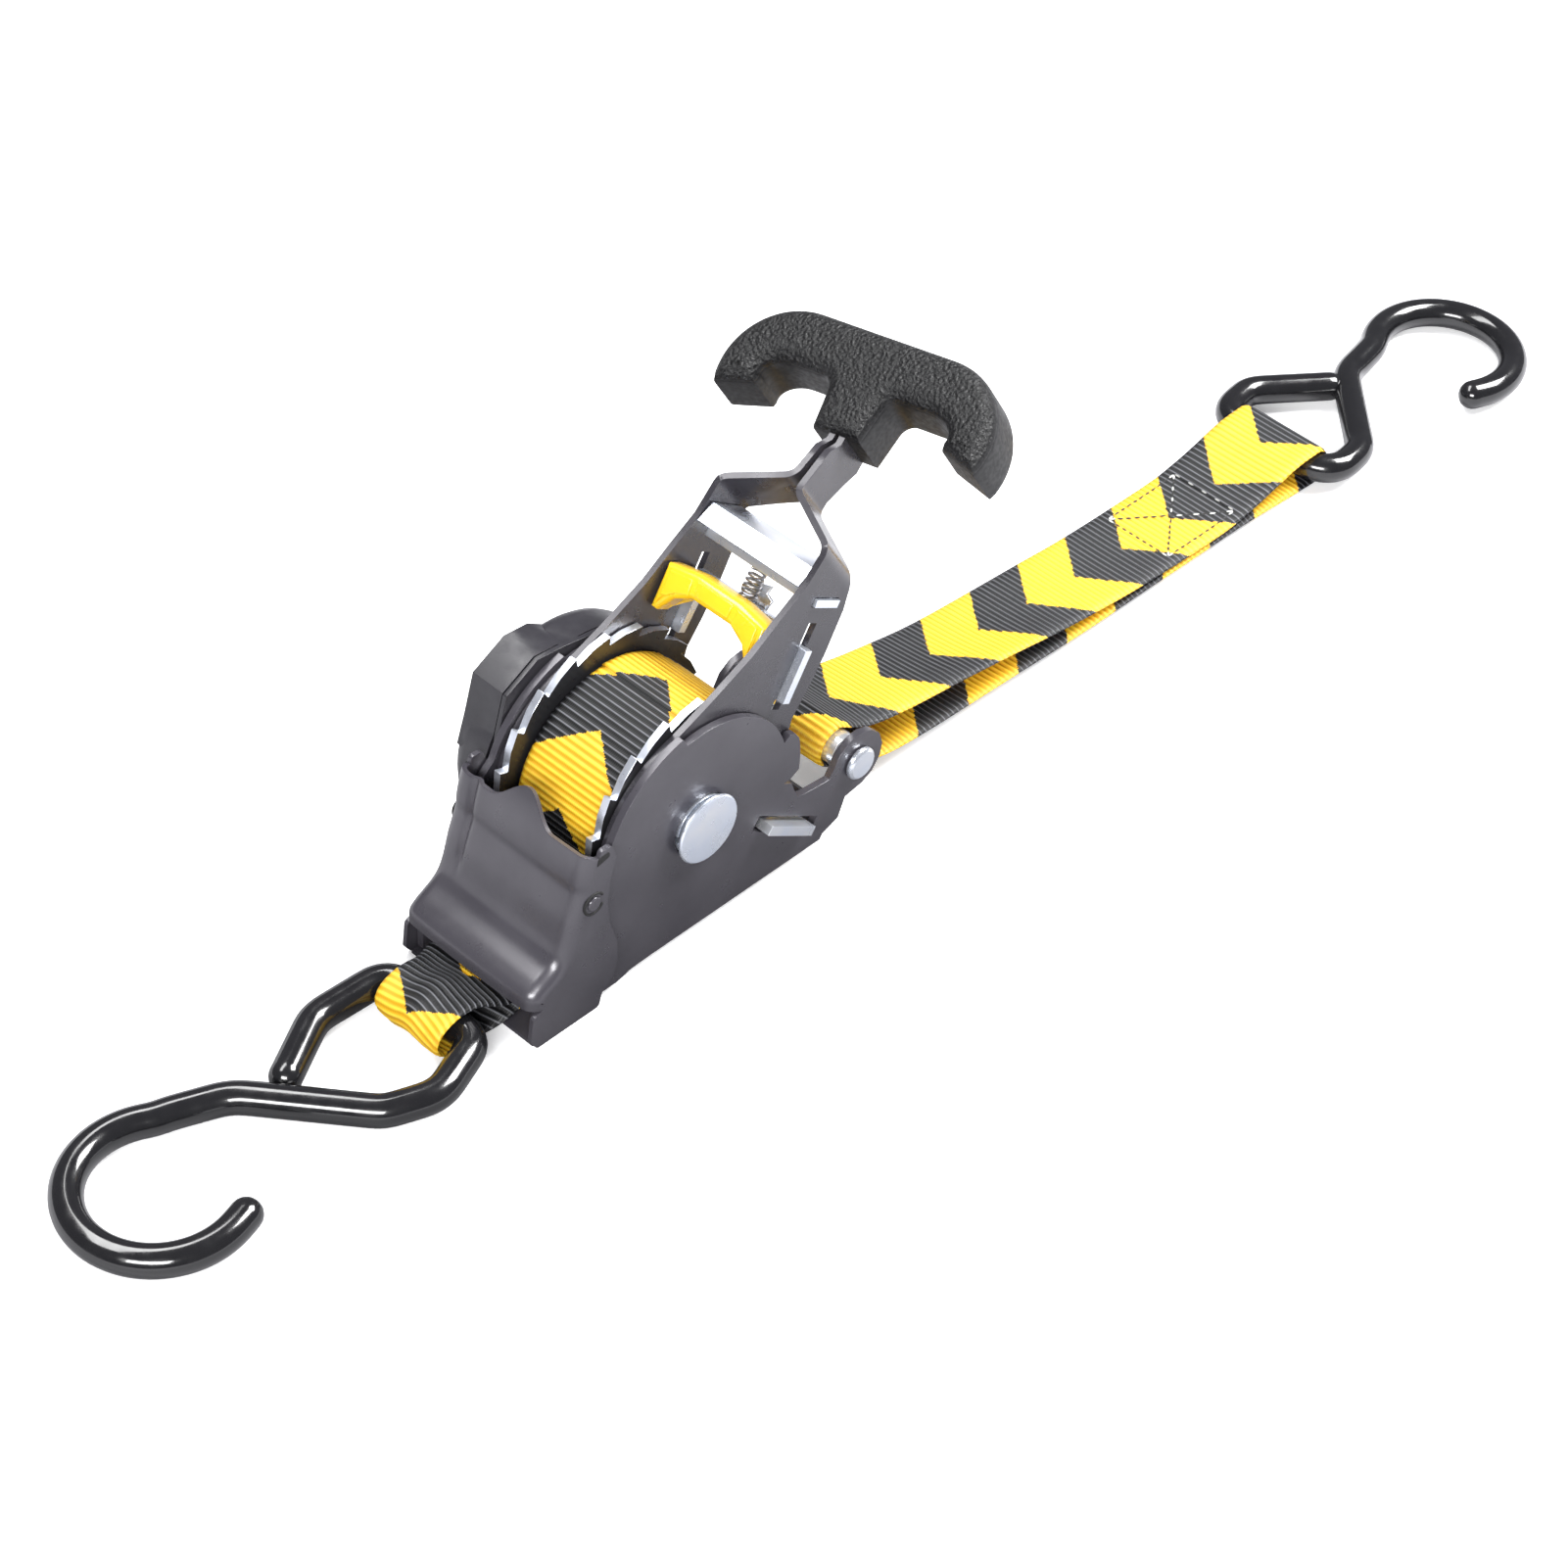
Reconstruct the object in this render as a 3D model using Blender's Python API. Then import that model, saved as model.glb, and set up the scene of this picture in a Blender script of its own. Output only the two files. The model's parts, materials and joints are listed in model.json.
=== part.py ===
"""One inch self-retracting ratchet strap with a T-handle, as an assembly of separate solids.

Units are metres, +Z is up.  X runs along the ratchet: -X is the nose, where the retracting
webbing leaves, and +X is the rear, where the fixed strap is pinned.  The origin lies on the
ground plane, straight under the drum axle and midway between the two side plates.
"""
import math

import bmesh
import bpy
from mathutils import Matrix, Vector

for old in list(bpy.data.objects):
    bpy.data.objects.remove(old, do_unlink=True)

MM = 0.001

# ---------------------------------------------------------------- driving dimensions, in mm
GAP = 0.3                 # clearance between neighbouring pieces
WEB_HALF = 12.5           # half the width of the 25 mm webbing
WEB_THICK = 1.3
AXLE_Z = 33.0             # height of the drum axle above the ground
AXLE_R = 7.5              # the two half-round axle pieces together
SLOT_HALF = 0.95          # half the slot between them, where the webbing is held
BORE_R = AXLE_R + GAP
COIL_R = 25.5             # outside of the wound webbing
WHEEL_IN, WHEEL_OUT = 13.1, 15.0
TEETH = 19
TIP_R, ROOT_R = 30.6, 28.2
TOOTH_FACE_DEG = -30.3    # one steep tooth face, just ahead of the base pawl
ARM_IN, ARM_OUT = 15.3, 16.8
PLATE_IN, PLATE_OUT = 17.1, 18.9
FLANGE_IN, FLANGE_OUT = 19.2, 20.3
SECTOR_R = 26.2           # edge the handle pawl rides over while ratcheting
SHOULDER_R = 28.8         # raised edge at the nose side
TAB_R = 30.4              # tab between the two locking notches
PIN_X, PIN_Z = 49.5, -13.0    # rear pin, measured from the axle
PIN_R, TUBE_R = 2.3, 4.2
BASE_PAWL_DEG = -33.0
HANDLE_DEG = 60.0         # direction in which the handle pawl slides
PAWL_OFFSET = 11.9        # how far the handle pawl's plane passes behind the axle
NECK_DEG = 32.0           # direction of the handle's neck and grip
GRIP_LEAN = 0.19          # sideways lean of neck and grip, in radians
WIRE_R = 3.75             # hook wire with its vinyl coat
EYE_Z = 5.5               # height of the hook wire above the ground
FRONT_EYE_X, REAR_EYE_X = -60.5, 222.5
HOUSING_R, CAVITY_R = 27.4, 20.0
HOUSING_IN, HOUSING_OUT = 20.8, 31.0

part = bpy.data.collections.new("ratchet_strap")
tools = bpy.data.collections.new("cutters")
bpy.context.scene.collection.children.link(part)
bpy.context.scene.collection.children.link(tools)


# ---------------------------------------------------------------- materials
def material(name, colour, roughness, metallic=0.0):
    """A plain Principled material."""
    mat = bpy.data.materials.new(name)
    mat.use_nodes = True
    shader = mat.node_tree.nodes["Principled BSDF"]
    shader.inputs["Base Color"].default_value = (*colour, 1.0)
    shader.inputs["Roughness"].default_value = roughness
    shader.inputs["Metallic"].default_value = metallic
    mat.diffuse_color = (*colour, 1.0)
    return mat


GREY_PAINT = material("grey_paint", (0.14, 0.14, 0.15), 0.42, 0.2)
ZINC = material("zinc_plate", (0.75, 0.78, 0.84), 0.28, 1.0)
WEBBING = material("webbing", (0.86, 0.60, 0.06), 0.85)
BLACK_VINYL = material("black_vinyl", (0.02, 0.02, 0.024), 0.15)
BLACK_RUBBER = material("black_rubber", (0.03, 0.03, 0.032), 0.8)
DARK_PLASTIC = material("dark_plastic", (0.09, 0.09, 0.10), 0.4)
YELLOW_PLASTIC = material("yellow_plastic", (0.93, 0.66, 0.03), 0.3)
SPRING_STEEL = material("spring_steel", (0.5, 0.5, 0.52), 0.35, 1.0)


# ---------------------------------------------------------------- plane geometry, in mm
def arc(cx, cy, radius, start, end, steps):
    """Points on an arc, from start to end in degrees."""
    points = []
    for i in range(steps + 1):
        a = math.radians(start + (end - start) * i / steps)
        points.append((cx + radius * math.cos(a), cy + radius * math.sin(a)))
    return points


def circle(cx, cy, radius, steps=32):
    """Points round a full circle."""
    return arc(cx, cy, radius, 0, 360, steps)[:-1]


def polar(radius, degrees):
    a = math.radians(degrees)
    return radius * math.cos(a), radius * math.sin(a)


def block(along, across, degrees, origin=(0.0, 0.0)):
    """A rectangle given by its spans along and across a direction."""
    c, s = math.cos(math.radians(degrees)), math.sin(math.radians(degrees))
    corners = [(along[0], across[0]), (along[1], across[0]),
               (along[1], across[1]), (along[0], across[1])]
    return [(origin[0] + u * c - v * s, origin[1] + u * s + v * c) for u, v in corners]


def rounded(points, radius, steps=3):
    """The same closed outline with every corner rounded."""
    result = []
    count = len(points)
    for i, corner in enumerate(points):
        p = Vector(corner)
        before = Vector(points[i - 1]) - p
        after = Vector(points[(i + 1) % count]) - p
        cut = min(radius, before.length * 0.45, after.length * 0.45)
        a = p + before.normalized() * cut
        b = p + after.normalized() * cut
        for k in range(steps + 1):
            t = k / steps
            q = a * (1 - t) ** 2 + p * (2 * t * (1 - t)) + b * t ** 2
            result.append((q.x, q.y))
    return result


def offset_side(points, distance, closed):
    """Points moved sideways from a polyline by a signed distance, mitred at the corners."""
    moved = []
    count = len(points)
    for i in range(count):
        here = Vector(points[i])
        if closed or 0 < i < count - 1:
            d0 = (here - Vector(points[i - 1])).normalized()
            d1 = (Vector(points[(i + 1) % count]) - here).normalized()
        elif i == 0:
            d0 = d1 = (Vector(points[1]) - here).normalized()
        else:
            d0 = d1 = (here - Vector(points[i - 1])).normalized()
        n0, n1 = Vector((-d0.y, d0.x)), Vector((-d1.y, d1.x))
        mid = (n0 + n1).normalized()
        moved.append(tuple(here + mid * (distance / max(mid.dot(n0), 0.3))))
    return moved


def thick_line(points, thickness):
    """An open polyline given a thickness, as one closed outline."""
    left = offset_side(points, thickness / 2, False)
    right = offset_side(points, -thickness / 2, False)
    return left + right[::-1]


# ---------------------------------------------------------------- solids
SIDE_VIEW = Matrix(((1, 0, 0), (0, 0, -1), (0, 1, 0))).to_4x4()


def as_mesh(obj):
    """Turn a curve object into a mesh object of the same name, with its caps welded."""
    name, matrix, mat = obj.name, obj.matrix_world.copy(), obj.data.materials[0]
    bpy.context.view_layer.update()
    evaluated = obj.evaluated_get(bpy.context.evaluated_depsgraph_get())
    mesh = bpy.data.meshes.new_from_object(evaluated)
    bm = bmesh.new()
    bm.from_mesh(mesh)
    bmesh.ops.remove_doubles(bm, verts=bm.verts, dist=1e-6)
    bmesh.ops.recalc_face_normals(bm, faces=bm.faces)
    bm.to_mesh(mesh)
    bm.free()
    bpy.data.objects.remove(obj, do_unlink=True)
    mesh.materials.clear()
    mesh.materials.append(mat)
    new = bpy.data.objects.new(name, mesh)
    part.objects.link(new)
    new.matrix_world = matrix
    mesh.shade_smooth()
    mesh.set_sharp_from_angle(angle=math.radians(35))
    return new


def flat_solid(name, loops, thickness, matrix, mat, bevel=0.0):
    """A solid with a flat outline (and holes), thickness along its local Z, centred on it."""
    curve = bpy.data.curves.new(name, "CURVE")
    curve.dimensions = "2D"
    curve.fill_mode = "BOTH"
    curve.extrude = (thickness / 2 - bevel) * MM
    if bevel:
        curve.bevel_depth = bevel * MM
        curve.bevel_resolution = 1
        curve.offset = -bevel * MM
    for loop in loops:
        spline = curve.splines.new("POLY")
        spline.points.add(len(loop) - 1)
        for point, (x, y) in zip(spline.points, loop):
            point.co = (x * MM, y * MM, 0, 1)
        spline.use_cyclic_u = True
    curve.materials.append(mat)
    obj = bpy.data.objects.new(name, curve)
    part.objects.link(obj)
    obj.matrix_world = matrix
    return as_mesh(obj)


def side_solid(name, loops, y_from, y_to, mat, pivot=(0.0, AXLE_Z), bevel=0.0):
    """A solid whose outline lies in the XZ plane, measured from a pivot, between two y values."""
    place = Matrix.Translation((pivot[0] * MM, (y_from + y_to) / 2 * MM, pivot[1] * MM))
    return flat_solid(name, loops, abs(y_to - y_from), place @ SIDE_VIEW, mat, bevel)


def tilted(degrees, pivot=(0.0, AXLE_Z)):
    """Local X along a direction in the XZ plane, local Y along world Y, local Z square to both."""
    c, s = math.cos(math.radians(degrees)), math.sin(math.radians(degrees))
    turn = Matrix(((c, 0, -s), (0, 1, 0), (s, 0, c))).to_4x4()
    return Matrix.Translation((pivot[0] * MM, 0, pivot[1] * MM)) @ turn


def wire(name, points, radius, matrix, mat, resolution=2):
    """A round wire with closed ends along a list of points."""
    curve = bpy.data.curves.new(name, "CURVE")
    curve.dimensions = "3D"
    curve.bevel_depth = radius * MM
    curve.bevel_resolution = resolution
    curve.use_fill_caps = True
    spline = curve.splines.new("POLY")
    spline.points.add(len(points) - 1)
    for point, (x, y, z) in zip(spline.points, points):
        point.co = (x * MM, y * MM, z * MM, 1)
    curve.materials.append(mat)
    obj = bpy.data.objects.new(name, curve)
    part.objects.link(obj)
    obj.matrix_world = matrix
    return as_mesh(obj)


def turned(name, steps_profile, x, z, mat, sides=32):
    """A piece turned about a line along Y: (y, radius) pairs for an outer surface, capped."""
    mesh = bpy.data.meshes.new(name)
    bm = bmesh.new()
    rings = []
    for y, radius in steps_profile:
        ring = []
        for px, pz in circle(0, 0, radius, sides):
            ring.append(bm.verts.new((px * MM, y * MM, pz * MM)))
        rings.append(ring)
    for a, b in zip(rings, rings[1:]):
        for i in range(sides):
            j = (i + 1) % sides
            bm.faces.new((a[i], a[j], b[j], b[i]))
    bm.faces.new(rings[0])
    bm.faces.new(rings[-1])
    bmesh.ops.recalc_face_normals(bm, faces=bm.faces)
    bm.to_mesh(mesh)
    bm.free()
    mesh.materials.append(mat)
    obj = bpy.data.objects.new(name, mesh)
    part.objects.link(obj)
    obj.location = (x * MM, 0, z * MM)
    mesh.shade_smooth()
    mesh.set_sharp_from_angle(angle=math.radians(35))
    return obj


def combine(obj, other, operation):
    """Apply a Boolean of obj with other, then put the other object with the cutters."""
    part.objects.unlink(other)
    tools.objects.link(other)
    other.hide_render = True
    other.display_type = "WIRE"
    modifier = obj.modifiers.new(operation.lower(), "BOOLEAN")
    modifier.operation = operation
    modifier.solver = "EXACT"
    modifier.object = other
    return obj


# ---------------------------------------------------------------- side plates
def half_moons(clear=0.0):
    """The two half-round outlines of the split axle."""
    radius = AXLE_R + clear
    flat = SLOT_HALF - clear
    lean = math.degrees(math.asin(flat / radius))
    upper = arc(0, 0, radius, lean, 180 - lean, 16)
    lower = arc(0, 0, radius, 180 + lean, 360 - lean, 16)
    return upper, lower


HOOD_LINE = arc(0, 0, 36.4, 149, 176, 6) + [(-38.4, -3.5), (-40.6, -11.2), (-42.2, -13.9),
                                           (-48.0, -17.6), (-49.6, -19.4), (-50.0, -22.0)]
HOOD_SHEET = 1.1


def plate_outline():
    """Side plate seen from the near side, measured from the axle."""
    ear = arc(PIN_X, PIN_Z, 8.0, 165, -75, 9)
    points = [(-14.0, -30.0), (38.6, -30.0), (39.4, -28.6), (44.2, -26.9), (46.2, -21.6)]
    points += ear[::-1]
    points += [(40.5, -13.0), (33.0, -12.2), (30.4, -11.6), (29.2, -9.0), (28.2, -6.2)]
    points += [polar(26.0, -10.5), polar(28.0, -9.5), polar(TAB_R, -6.0)]
    points += arc(0, 0, TAB_R, -2, 12, 4)
    points += [polar(29.6, 16.5), polar(28.2, 18.5), polar(SECTOR_R, 16.5)]
    points += arc(0, 0, SECTOR_R, 21, 101, 14)
    points += [polar(SHOULDER_R, 102.6)]
    points += arc(0, 0, SHOULDER_R, 108, 158, 8)
    points += [(-33.0, 5.0)] + offset_side(HOOD_LINE, HOOD_SHEET / 2 + GAP, False)[6:-1]
    points += [(-47.8, -22.0), (-47.8, -31.3), (-24.5, -31.3), (-20.0, -30.2)]
    return points


def pawl_slot(clearance_in=20.6, clearance_out=43.2):
    """Slot in which the base pawl's ears slide."""
    return block((clearance_in, clearance_out), (-2.1, 1.9), BASE_PAWL_DEG)


NOSE_RIVETS = ((-33.0, -0.6), (-37.6, -26.4))
GUIDE_PIN = (-42.5, -21.2)
SCREWS = (polar(22.2, 124), polar(22.2, 205), polar(22.2, 288))

near_holes = [circle(0, 0, BORE_R), pawl_slot(), circle(PIN_X, PIN_Z, PIN_R + GAP, 20)]
near_holes += [circle(x, z, 1.5 + GAP, 16) for x, z in NOSE_RIVETS]
near_holes += [circle(*GUIDE_PIN, 2.0 + GAP, 16)]
far_holes = near_holes + [circle(x, z, 1.3 + GAP, 16) for x, z in SCREWS]
side_solid("side_plate_near", [plate_outline()] + near_holes, -PLATE_OUT, -PLATE_IN, GREY_PAINT)
side_solid("side_plate_far", [plate_outline()] + far_holes, PLATE_IN, PLATE_OUT, GREY_PAINT)


# ---------------------------------------------------------------- nose cover


def flange_outline():
    """Side flange of the nose cover, which wraps over the outside of a side plate."""
    front = offset_side(HOOD_LINE, -HOOD_SHEET / 2 - 0.05, False)
    points = [(-26.6, 9.0), (-33.6, 12.4)] + front[3:-1]
    points += [(-51.0, -30.5), (-49.5, -33.0), (-31.0, -33.0), (-30.2, -29.4), (-27.0, -26.6)]
    points += [(-25.6, -22.5), (-25.8, -16.5), (-28.2, -9.5), (-28.9, -2.5), (-28.2, 3.6)]
    return points


def lobe_height(y):
    """Height of the hood's top edge above the axle across the width."""
    return 12.4 + 5.6 * math.cos(min(abs(y) / 9.5, 1.0) * math.pi / 2) ** 2


cover = side_solid("nose_cover", [thick_line(HOOD_LINE, HOOD_SHEET)], -FLANGE_OUT + 0.4,
                   FLANGE_OUT - 0.4, GREY_PAINT)
for sign in (-1, 1):
    holes = [circle(x, z, 1.5 + GAP, 16) for x, z in NOSE_RIVETS]
    combine(cover, side_solid(f"flange_{sign}", [flange_outline()] + holes, sign * FLANGE_IN,
                              sign * FLANGE_OUT, GREY_PAINT), "UNION")
floor_strip = thick_line([(-49.0, -32.4), (-31.3, -32.4)], 1.0)
combine(cover, side_solid("nose_floor", [floor_strip], -FLANGE_OUT + 0.4, FLANGE_OUT - 0.4,
                          GREY_PAINT), "UNION")
edge = [(-22 + 1.1 * i, lobe_height(-22 + 1.1 * i)) for i in range(41)]
crown = edge + [(24.0, 40.0), (-24.0, 40.0)]
front_view = Matrix(((0, 0, 1), (1, 0, 0), (0, 1, 0))).to_4x4()
combine(cover, flat_solid("crown_cut", [crown], 40.0,
                          Matrix.Translation((-0.045, 0, AXLE_Z * MM)) @ front_view, GREY_PAINT),
        "DIFFERENCE")

# The upper rivets show a small head; the lower ones are set flush with the flange.
RIVET_HEADS = {"upper": [(20.4, 1.5), (20.4, 1.9), (20.8, 1.6)], "lower": [(20.25, 1.5)]}
for side, sign in (("near", -1), ("far", 1)):
    for place, (x, z) in zip(("upper", "lower"), NOSE_RIVETS):
        profile = [(16.6, 2.3), (16.8, 2.6), (16.8, 1.5)] + RIVET_HEADS[place]
        turned(f"nose_rivet_{side}_{place}", [(sign * y, radius) for y, radius in profile],
               x, z + AXLE_Z, GREY_PAINT, 16)

turned("webbing_guide_pin", [(-18.8, 2.0), (18.8, 2.0)], GUIDE_PIN[0], GUIDE_PIN[1] + AXLE_Z,
       ZINC, 20)


# ---------------------------------------------------------------- rear pin
turned("rear_pin",
       [(-20.7, 3.4), (-20.2, 4.1), (-19.2, 4.1), (-19.2, PIN_R), (19.2, PIN_R), (19.2, 4.1),
        (20.2, 4.1), (20.7, 3.4)], PIN_X, PIN_Z + AXLE_Z, ZINC, 24)
side_solid("rear_spacer_tube", [circle(0, 0, TUBE_R, 24), circle(0, 0, PIN_R + GAP, 24)],
           -14.9, 14.9, ZINC, (PIN_X, PIN_Z + AXLE_Z))


# ---------------------------------------------------------------- drum
def wheel_outline():
    """Ratchet wheel: steep faces look clockwise, seen from the near side."""
    points = []
    pitch = 360 / TEETH
    for i in range(TEETH):
        face = TOOTH_FACE_DEG + i * pitch
        points.append(polar(ROOT_R, face))
        points.append(polar(TIP_R, face))
        points.append(polar((TIP_R + ROOT_R) / 2 + 0.15, face + pitch / 2))
    return points


upper_moon, lower_moon = half_moons()
upper_hole, lower_hole = half_moons(GAP)
side_solid("axle_half_upper", [upper_moon], -19.3, 20.4, ZINC)
side_solid("axle_half_lower", [lower_moon], -19.3, 20.4, ZINC)
side_solid("ratchet_wheel_near", [wheel_outline(), upper_hole, lower_hole], -WHEEL_OUT, -WHEEL_IN,
           ZINC)
side_solid("ratchet_wheel_far", [wheel_outline(), upper_hole, lower_hole], WHEEL_IN, WHEEL_OUT,
           ZINC)
side_solid("wound_webbing", [circle(0, 0, COIL_R, 56), upper_hole, lower_hole], -WEB_HALF,
           WEB_HALF, WEBBING)
turned("axle_head", [(-19.6, 7.2), (-20.3, 7.2), (-20.4, 8.3), (-20.7, 8.6), (-21.1, 8.6),
                     (-21.4, 8.3)], 0, AXLE_Z, ZINC, 40)
turned("spring_arbor", [(20.7, 5.4), (29.0, 5.4)], 0, AXLE_Z, DARK_PLASTIC, 24)


# ---------------------------------------------------------------- retract spring and its housing
LUG = [(2.0, 24.0), (-5.0, 28.4), (-11.8, 29.0), (-20.8, 24.0), (-23.2, 14.6), (-25.6, 6.5),
       (-20.0, 2.0), (0.0, 18.0)]


def backplate_outline():
    """Outline of the housing's backplate: the round of the cup, drawn out over the lug."""
    points = arc(0, 0, HOUSING_R, -165, 86, 34)
    return points + [(-5.0, 28.6), (-11.9, 29.2), (-21.0, 24.1), (-23.5, 14.6)]


screw_holes = [circle(x, z, 1.3 + GAP, 16) for x, z in SCREWS]
side_solid("housing_backplate", [backplate_outline(), circle(0, 0, BORE_R)] + screw_holes,
           19.2, 20.4, DARK_PLASTIC)
housing = turned("spring_housing", [(HOUSING_IN, 27.2), (27.2, 27.0), (29.2, 26.3), (30.5, 25.2),
                                    (HOUSING_OUT, 24.0)], 0, AXLE_Z, DARK_PLASTIC, 56)
combine(housing, side_solid("lug", [LUG], HOUSING_IN, 30.1, DARK_PLASTIC), "UNION")
combine(housing, turned("cavity", [(19.0, CAVITY_R), (29.4, CAVITY_R)], 0, AXLE_Z, DARK_PLASTIC,
                        40), "DIFFERENCE")
for number, (x, z) in enumerate(SCREWS, 1):
    combine(housing, turned(f"screw_hole_{number}", [(19.0, 1.3 + GAP), (33.0, 1.3 + GAP)], x,
                            z + AXLE_Z, DARK_PLASTIC, 16), "DIFFERENCE")
    turned(f"housing_screw_{number}",
           [(17.2, 1.3), (31.3, 1.3), (31.3, 2.2), (32.2, 1.9)], x, z + AXLE_Z, ZINC, 14)


def spiral(inner, outer, turns, steps):
    """An even spiral, as a list of points."""
    points = []
    for i in range(steps + 1):
        t = i / steps
        points.append(polar(inner + (outer - inner) * t, 360 * turns * t))
    return points


side_solid("power_spring", [thick_line(spiral(6.2, 19.1, 6, 132), 0.5)], 21.4, 28.8, SPRING_STEEL)


# ---------------------------------------------------------------- base pawl
def direction_view(degrees):
    """Local X along a direction in the XZ plane, local Y along world Y."""
    return tilted(degrees)


ear_in, blade_in, pawl_back = 23.4, 31.0, 40.4
pawl_plan = [(blade_in, -17.0), (ear_in, -17.2), (ear_in, -21.4), (pawl_back, -21.4),
             (pawl_back, 18.8), (ear_in, 18.8), (ear_in, 17.2), (blade_in, 17.0)]
flat_solid("base_pawl", [pawl_plan], 2.4,
           direction_view(BASE_PAWL_DEG) @ Matrix.Translation((0, 0, -0.0005)), ZINC)
seat = block((48.2, 50.4), (-4.0, 3.0), BASE_PAWL_DEG)
side_solid("pawl_spring_seat", [seat], -16.8, 16.8, GREY_PAINT)


def coil(radius, start, end, turns, per_turn=10):
    """Points of a coil spring whose axis is local X."""
    points = []
    count = int(turns * per_turn)
    for i in range(count + 1):
        a = 2 * math.pi * i / per_turn
        points.append((start + (end - start) * i / count, radius * math.cos(a),
                       radius * math.sin(a)))
    return points


wire("base_pawl_spring", coil(2.0, 41.3, 47.4, 5), 0.4,
     direction_view(BASE_PAWL_DEG) @ Matrix.Translation((0, 0, -0.0005)), SPRING_STEEL, 1)


# ---------------------------------------------------------------- handle
def neck_point(along, up):
    """A point given along and square to the neck direction, measured from the axle."""
    c, s = math.cos(math.radians(NECK_DEG)), math.sin(math.radians(NECK_DEG))
    return along * c - up * s, along * s + up * c


def arm_silhouette():
    """Side view of one handle arm with its neck, measured from the axle."""
    points = arc(0, 0, 27.5, 104, 368, 26)
    points += [(29.2, 10.8), (33.6, 16.6), (38.5, 23.8), (43.6, 33.3), (46.0, 41.5)]
    points += [neck_point(66, 11.0), neck_point(71, 10.6), neck_point(77, 7.6)]
    points += [neck_point(81, 5.2), neck_point(97, 5.2), neck_point(97, 17.2)]
    points += [neck_point(82, 17.2), neck_point(79, 20.0), neck_point(68, 23.2)]
    points += [(37.9, 53.4), (31.5, 46.8), (24.4, 42.4), (16.0, 36.8), (4.6, 31.4)]
    return points


def pawl_block(along, across):
    """A rectangle in the handle pawl's own directions, measured from the axle."""
    return block(along, across, HANDLE_DEG)


ARM_HOLES = [circle(0, 0, BORE_R), pawl_block((26.4, 47.5), (-PAWL_OFFSET - 1.4, -PAWL_OFFSET + 1.4)),
             pawl_block((51.3, 53.7), (-17.4, -8.6))]
NEAR_LINE = [(-40, -16.05), (59.6, -16.05), (61.2, -15.5), (67.0, -1.6), (68.8, 0.2), (97.0, 5.6)]
FAR_LINE = [(-40, 16.05), (59.6, 16.05), (61.4, 15.5), (69.6, 4.6), (71.2, 2.9), (97.0, 7.7)]
for side, line in (("near", NEAR_LINE), ("far", FAR_LINE)):
    strip = flat_solid(f"strip_{side}", [thick_line(line, ARM_OUT - ARM_IN)], 90.0,
                       tilted(NECK_DEG), GREY_PAINT)
    arm = side_solid(f"handle_arm_{side}", [arm_silhouette()] + ARM_HOLES, -24, 24, GREY_PAINT)
    combine(arm, strip, "INTERSECT")

def turned_section(points):
    """Section points given along and across the handle pawl's direction."""
    c, s = math.cos(math.radians(HANDLE_DEG)), math.sin(math.radians(HANDLE_DEG))
    return [(u * c - v * s, u * s + v * c) for u, v in points]


# A bent strip: front face, top, back and a seat for the spring, which is tabbed into both arms.
bar_section = turned_section([(55.4, -3.4), (59.7, -6.1), (58.9, -17.0), (51.6, -17.0),
                              (51.6, -8.9), (53.4, -8.9), (53.4, -15.2), (55.4, -15.2)])
tab_section = turned_section([(51.6, -17.1), (51.6, -8.9), (53.4, -8.9), (53.4, -17.1)])
bar = side_solid("retainer_bar", [bar_section], -15.0, 15.0, ZINC)
combine(bar, side_solid("bar_tabs", [tab_section], -17.6, 17.6, ZINC), "UNION")


def grip_outline():
    """T-grip seen square on: a bar with its ends bent towards the ratchet, and a stem."""
    half, bend, thick = 17.2, 10.9, 13.4
    outer = arc(half, -bend, bend + thick / 2, 90, -12, 10)
    inner = [(half + (x - half) * 1.65, y) for x, y in arc(half, -bend, bend - thick / 2, -12, 90, 6)]
    tip = [(outer[-1][0] - 0.6, outer[-1][1] - 1.6), (inner[0][0] + 0.3, inner[0][1] - 1.6)]
    stem = [(9.0, -thick / 2), (6.9, -thick / 2 - 2.0), (6.4, -18.3)]
    right = outer + tip + inner + stem
    left = [(-x, y) for x, y in right[::-1]]
    return right + left


neck = math.radians(NECK_DEG)
h_axis = Vector((math.cos(neck), 0, math.sin(neck)))
t_axis = Vector((-math.sin(neck), 0, math.cos(neck)))
bar_axis = Vector((0, -math.cos(GRIP_LEAN), 0)) + h_axis * math.sin(GRIP_LEAN)
up_axis = h_axis * math.cos(GRIP_LEAN) + Vector((0, math.sin(GRIP_LEAN), 0))
grip_turn = Matrix((bar_axis, up_axis, bar_axis.cross(up_axis))).transposed().to_4x4()
grip_centre = h_axis * 101.3 + t_axis * 11.0 + Vector((0, 8.0, 0))
grip_place = Matrix.Translation((grip_centre + Vector((0, 0, AXLE_Z))) * MM) @ grip_turn
grip = flat_solid("handle_grip", [grip_outline()], 17.5, grip_place, BLACK_RUBBER, bevel=2.0)
pocket_line = [(70, 1.75), (97.4, 7.05)]
pocket = flat_solid("grip_pocket", [thick_line(pocket_line, 4.6)], 12.7,
                    tilted(NECK_DEG) @ Matrix.Translation((0, 0, 0.0112)), BLACK_RUBBER)
combine(grip, pocket, "DIFFERENCE")

wire("handle_pawl_spring", coil(1.7, 44.7, 50.9, 5), 0.4,
     tilted(HANDLE_DEG) @ Matrix.Translation((0, 0, -0.0104)), SPRING_STEEL, 1)


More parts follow.
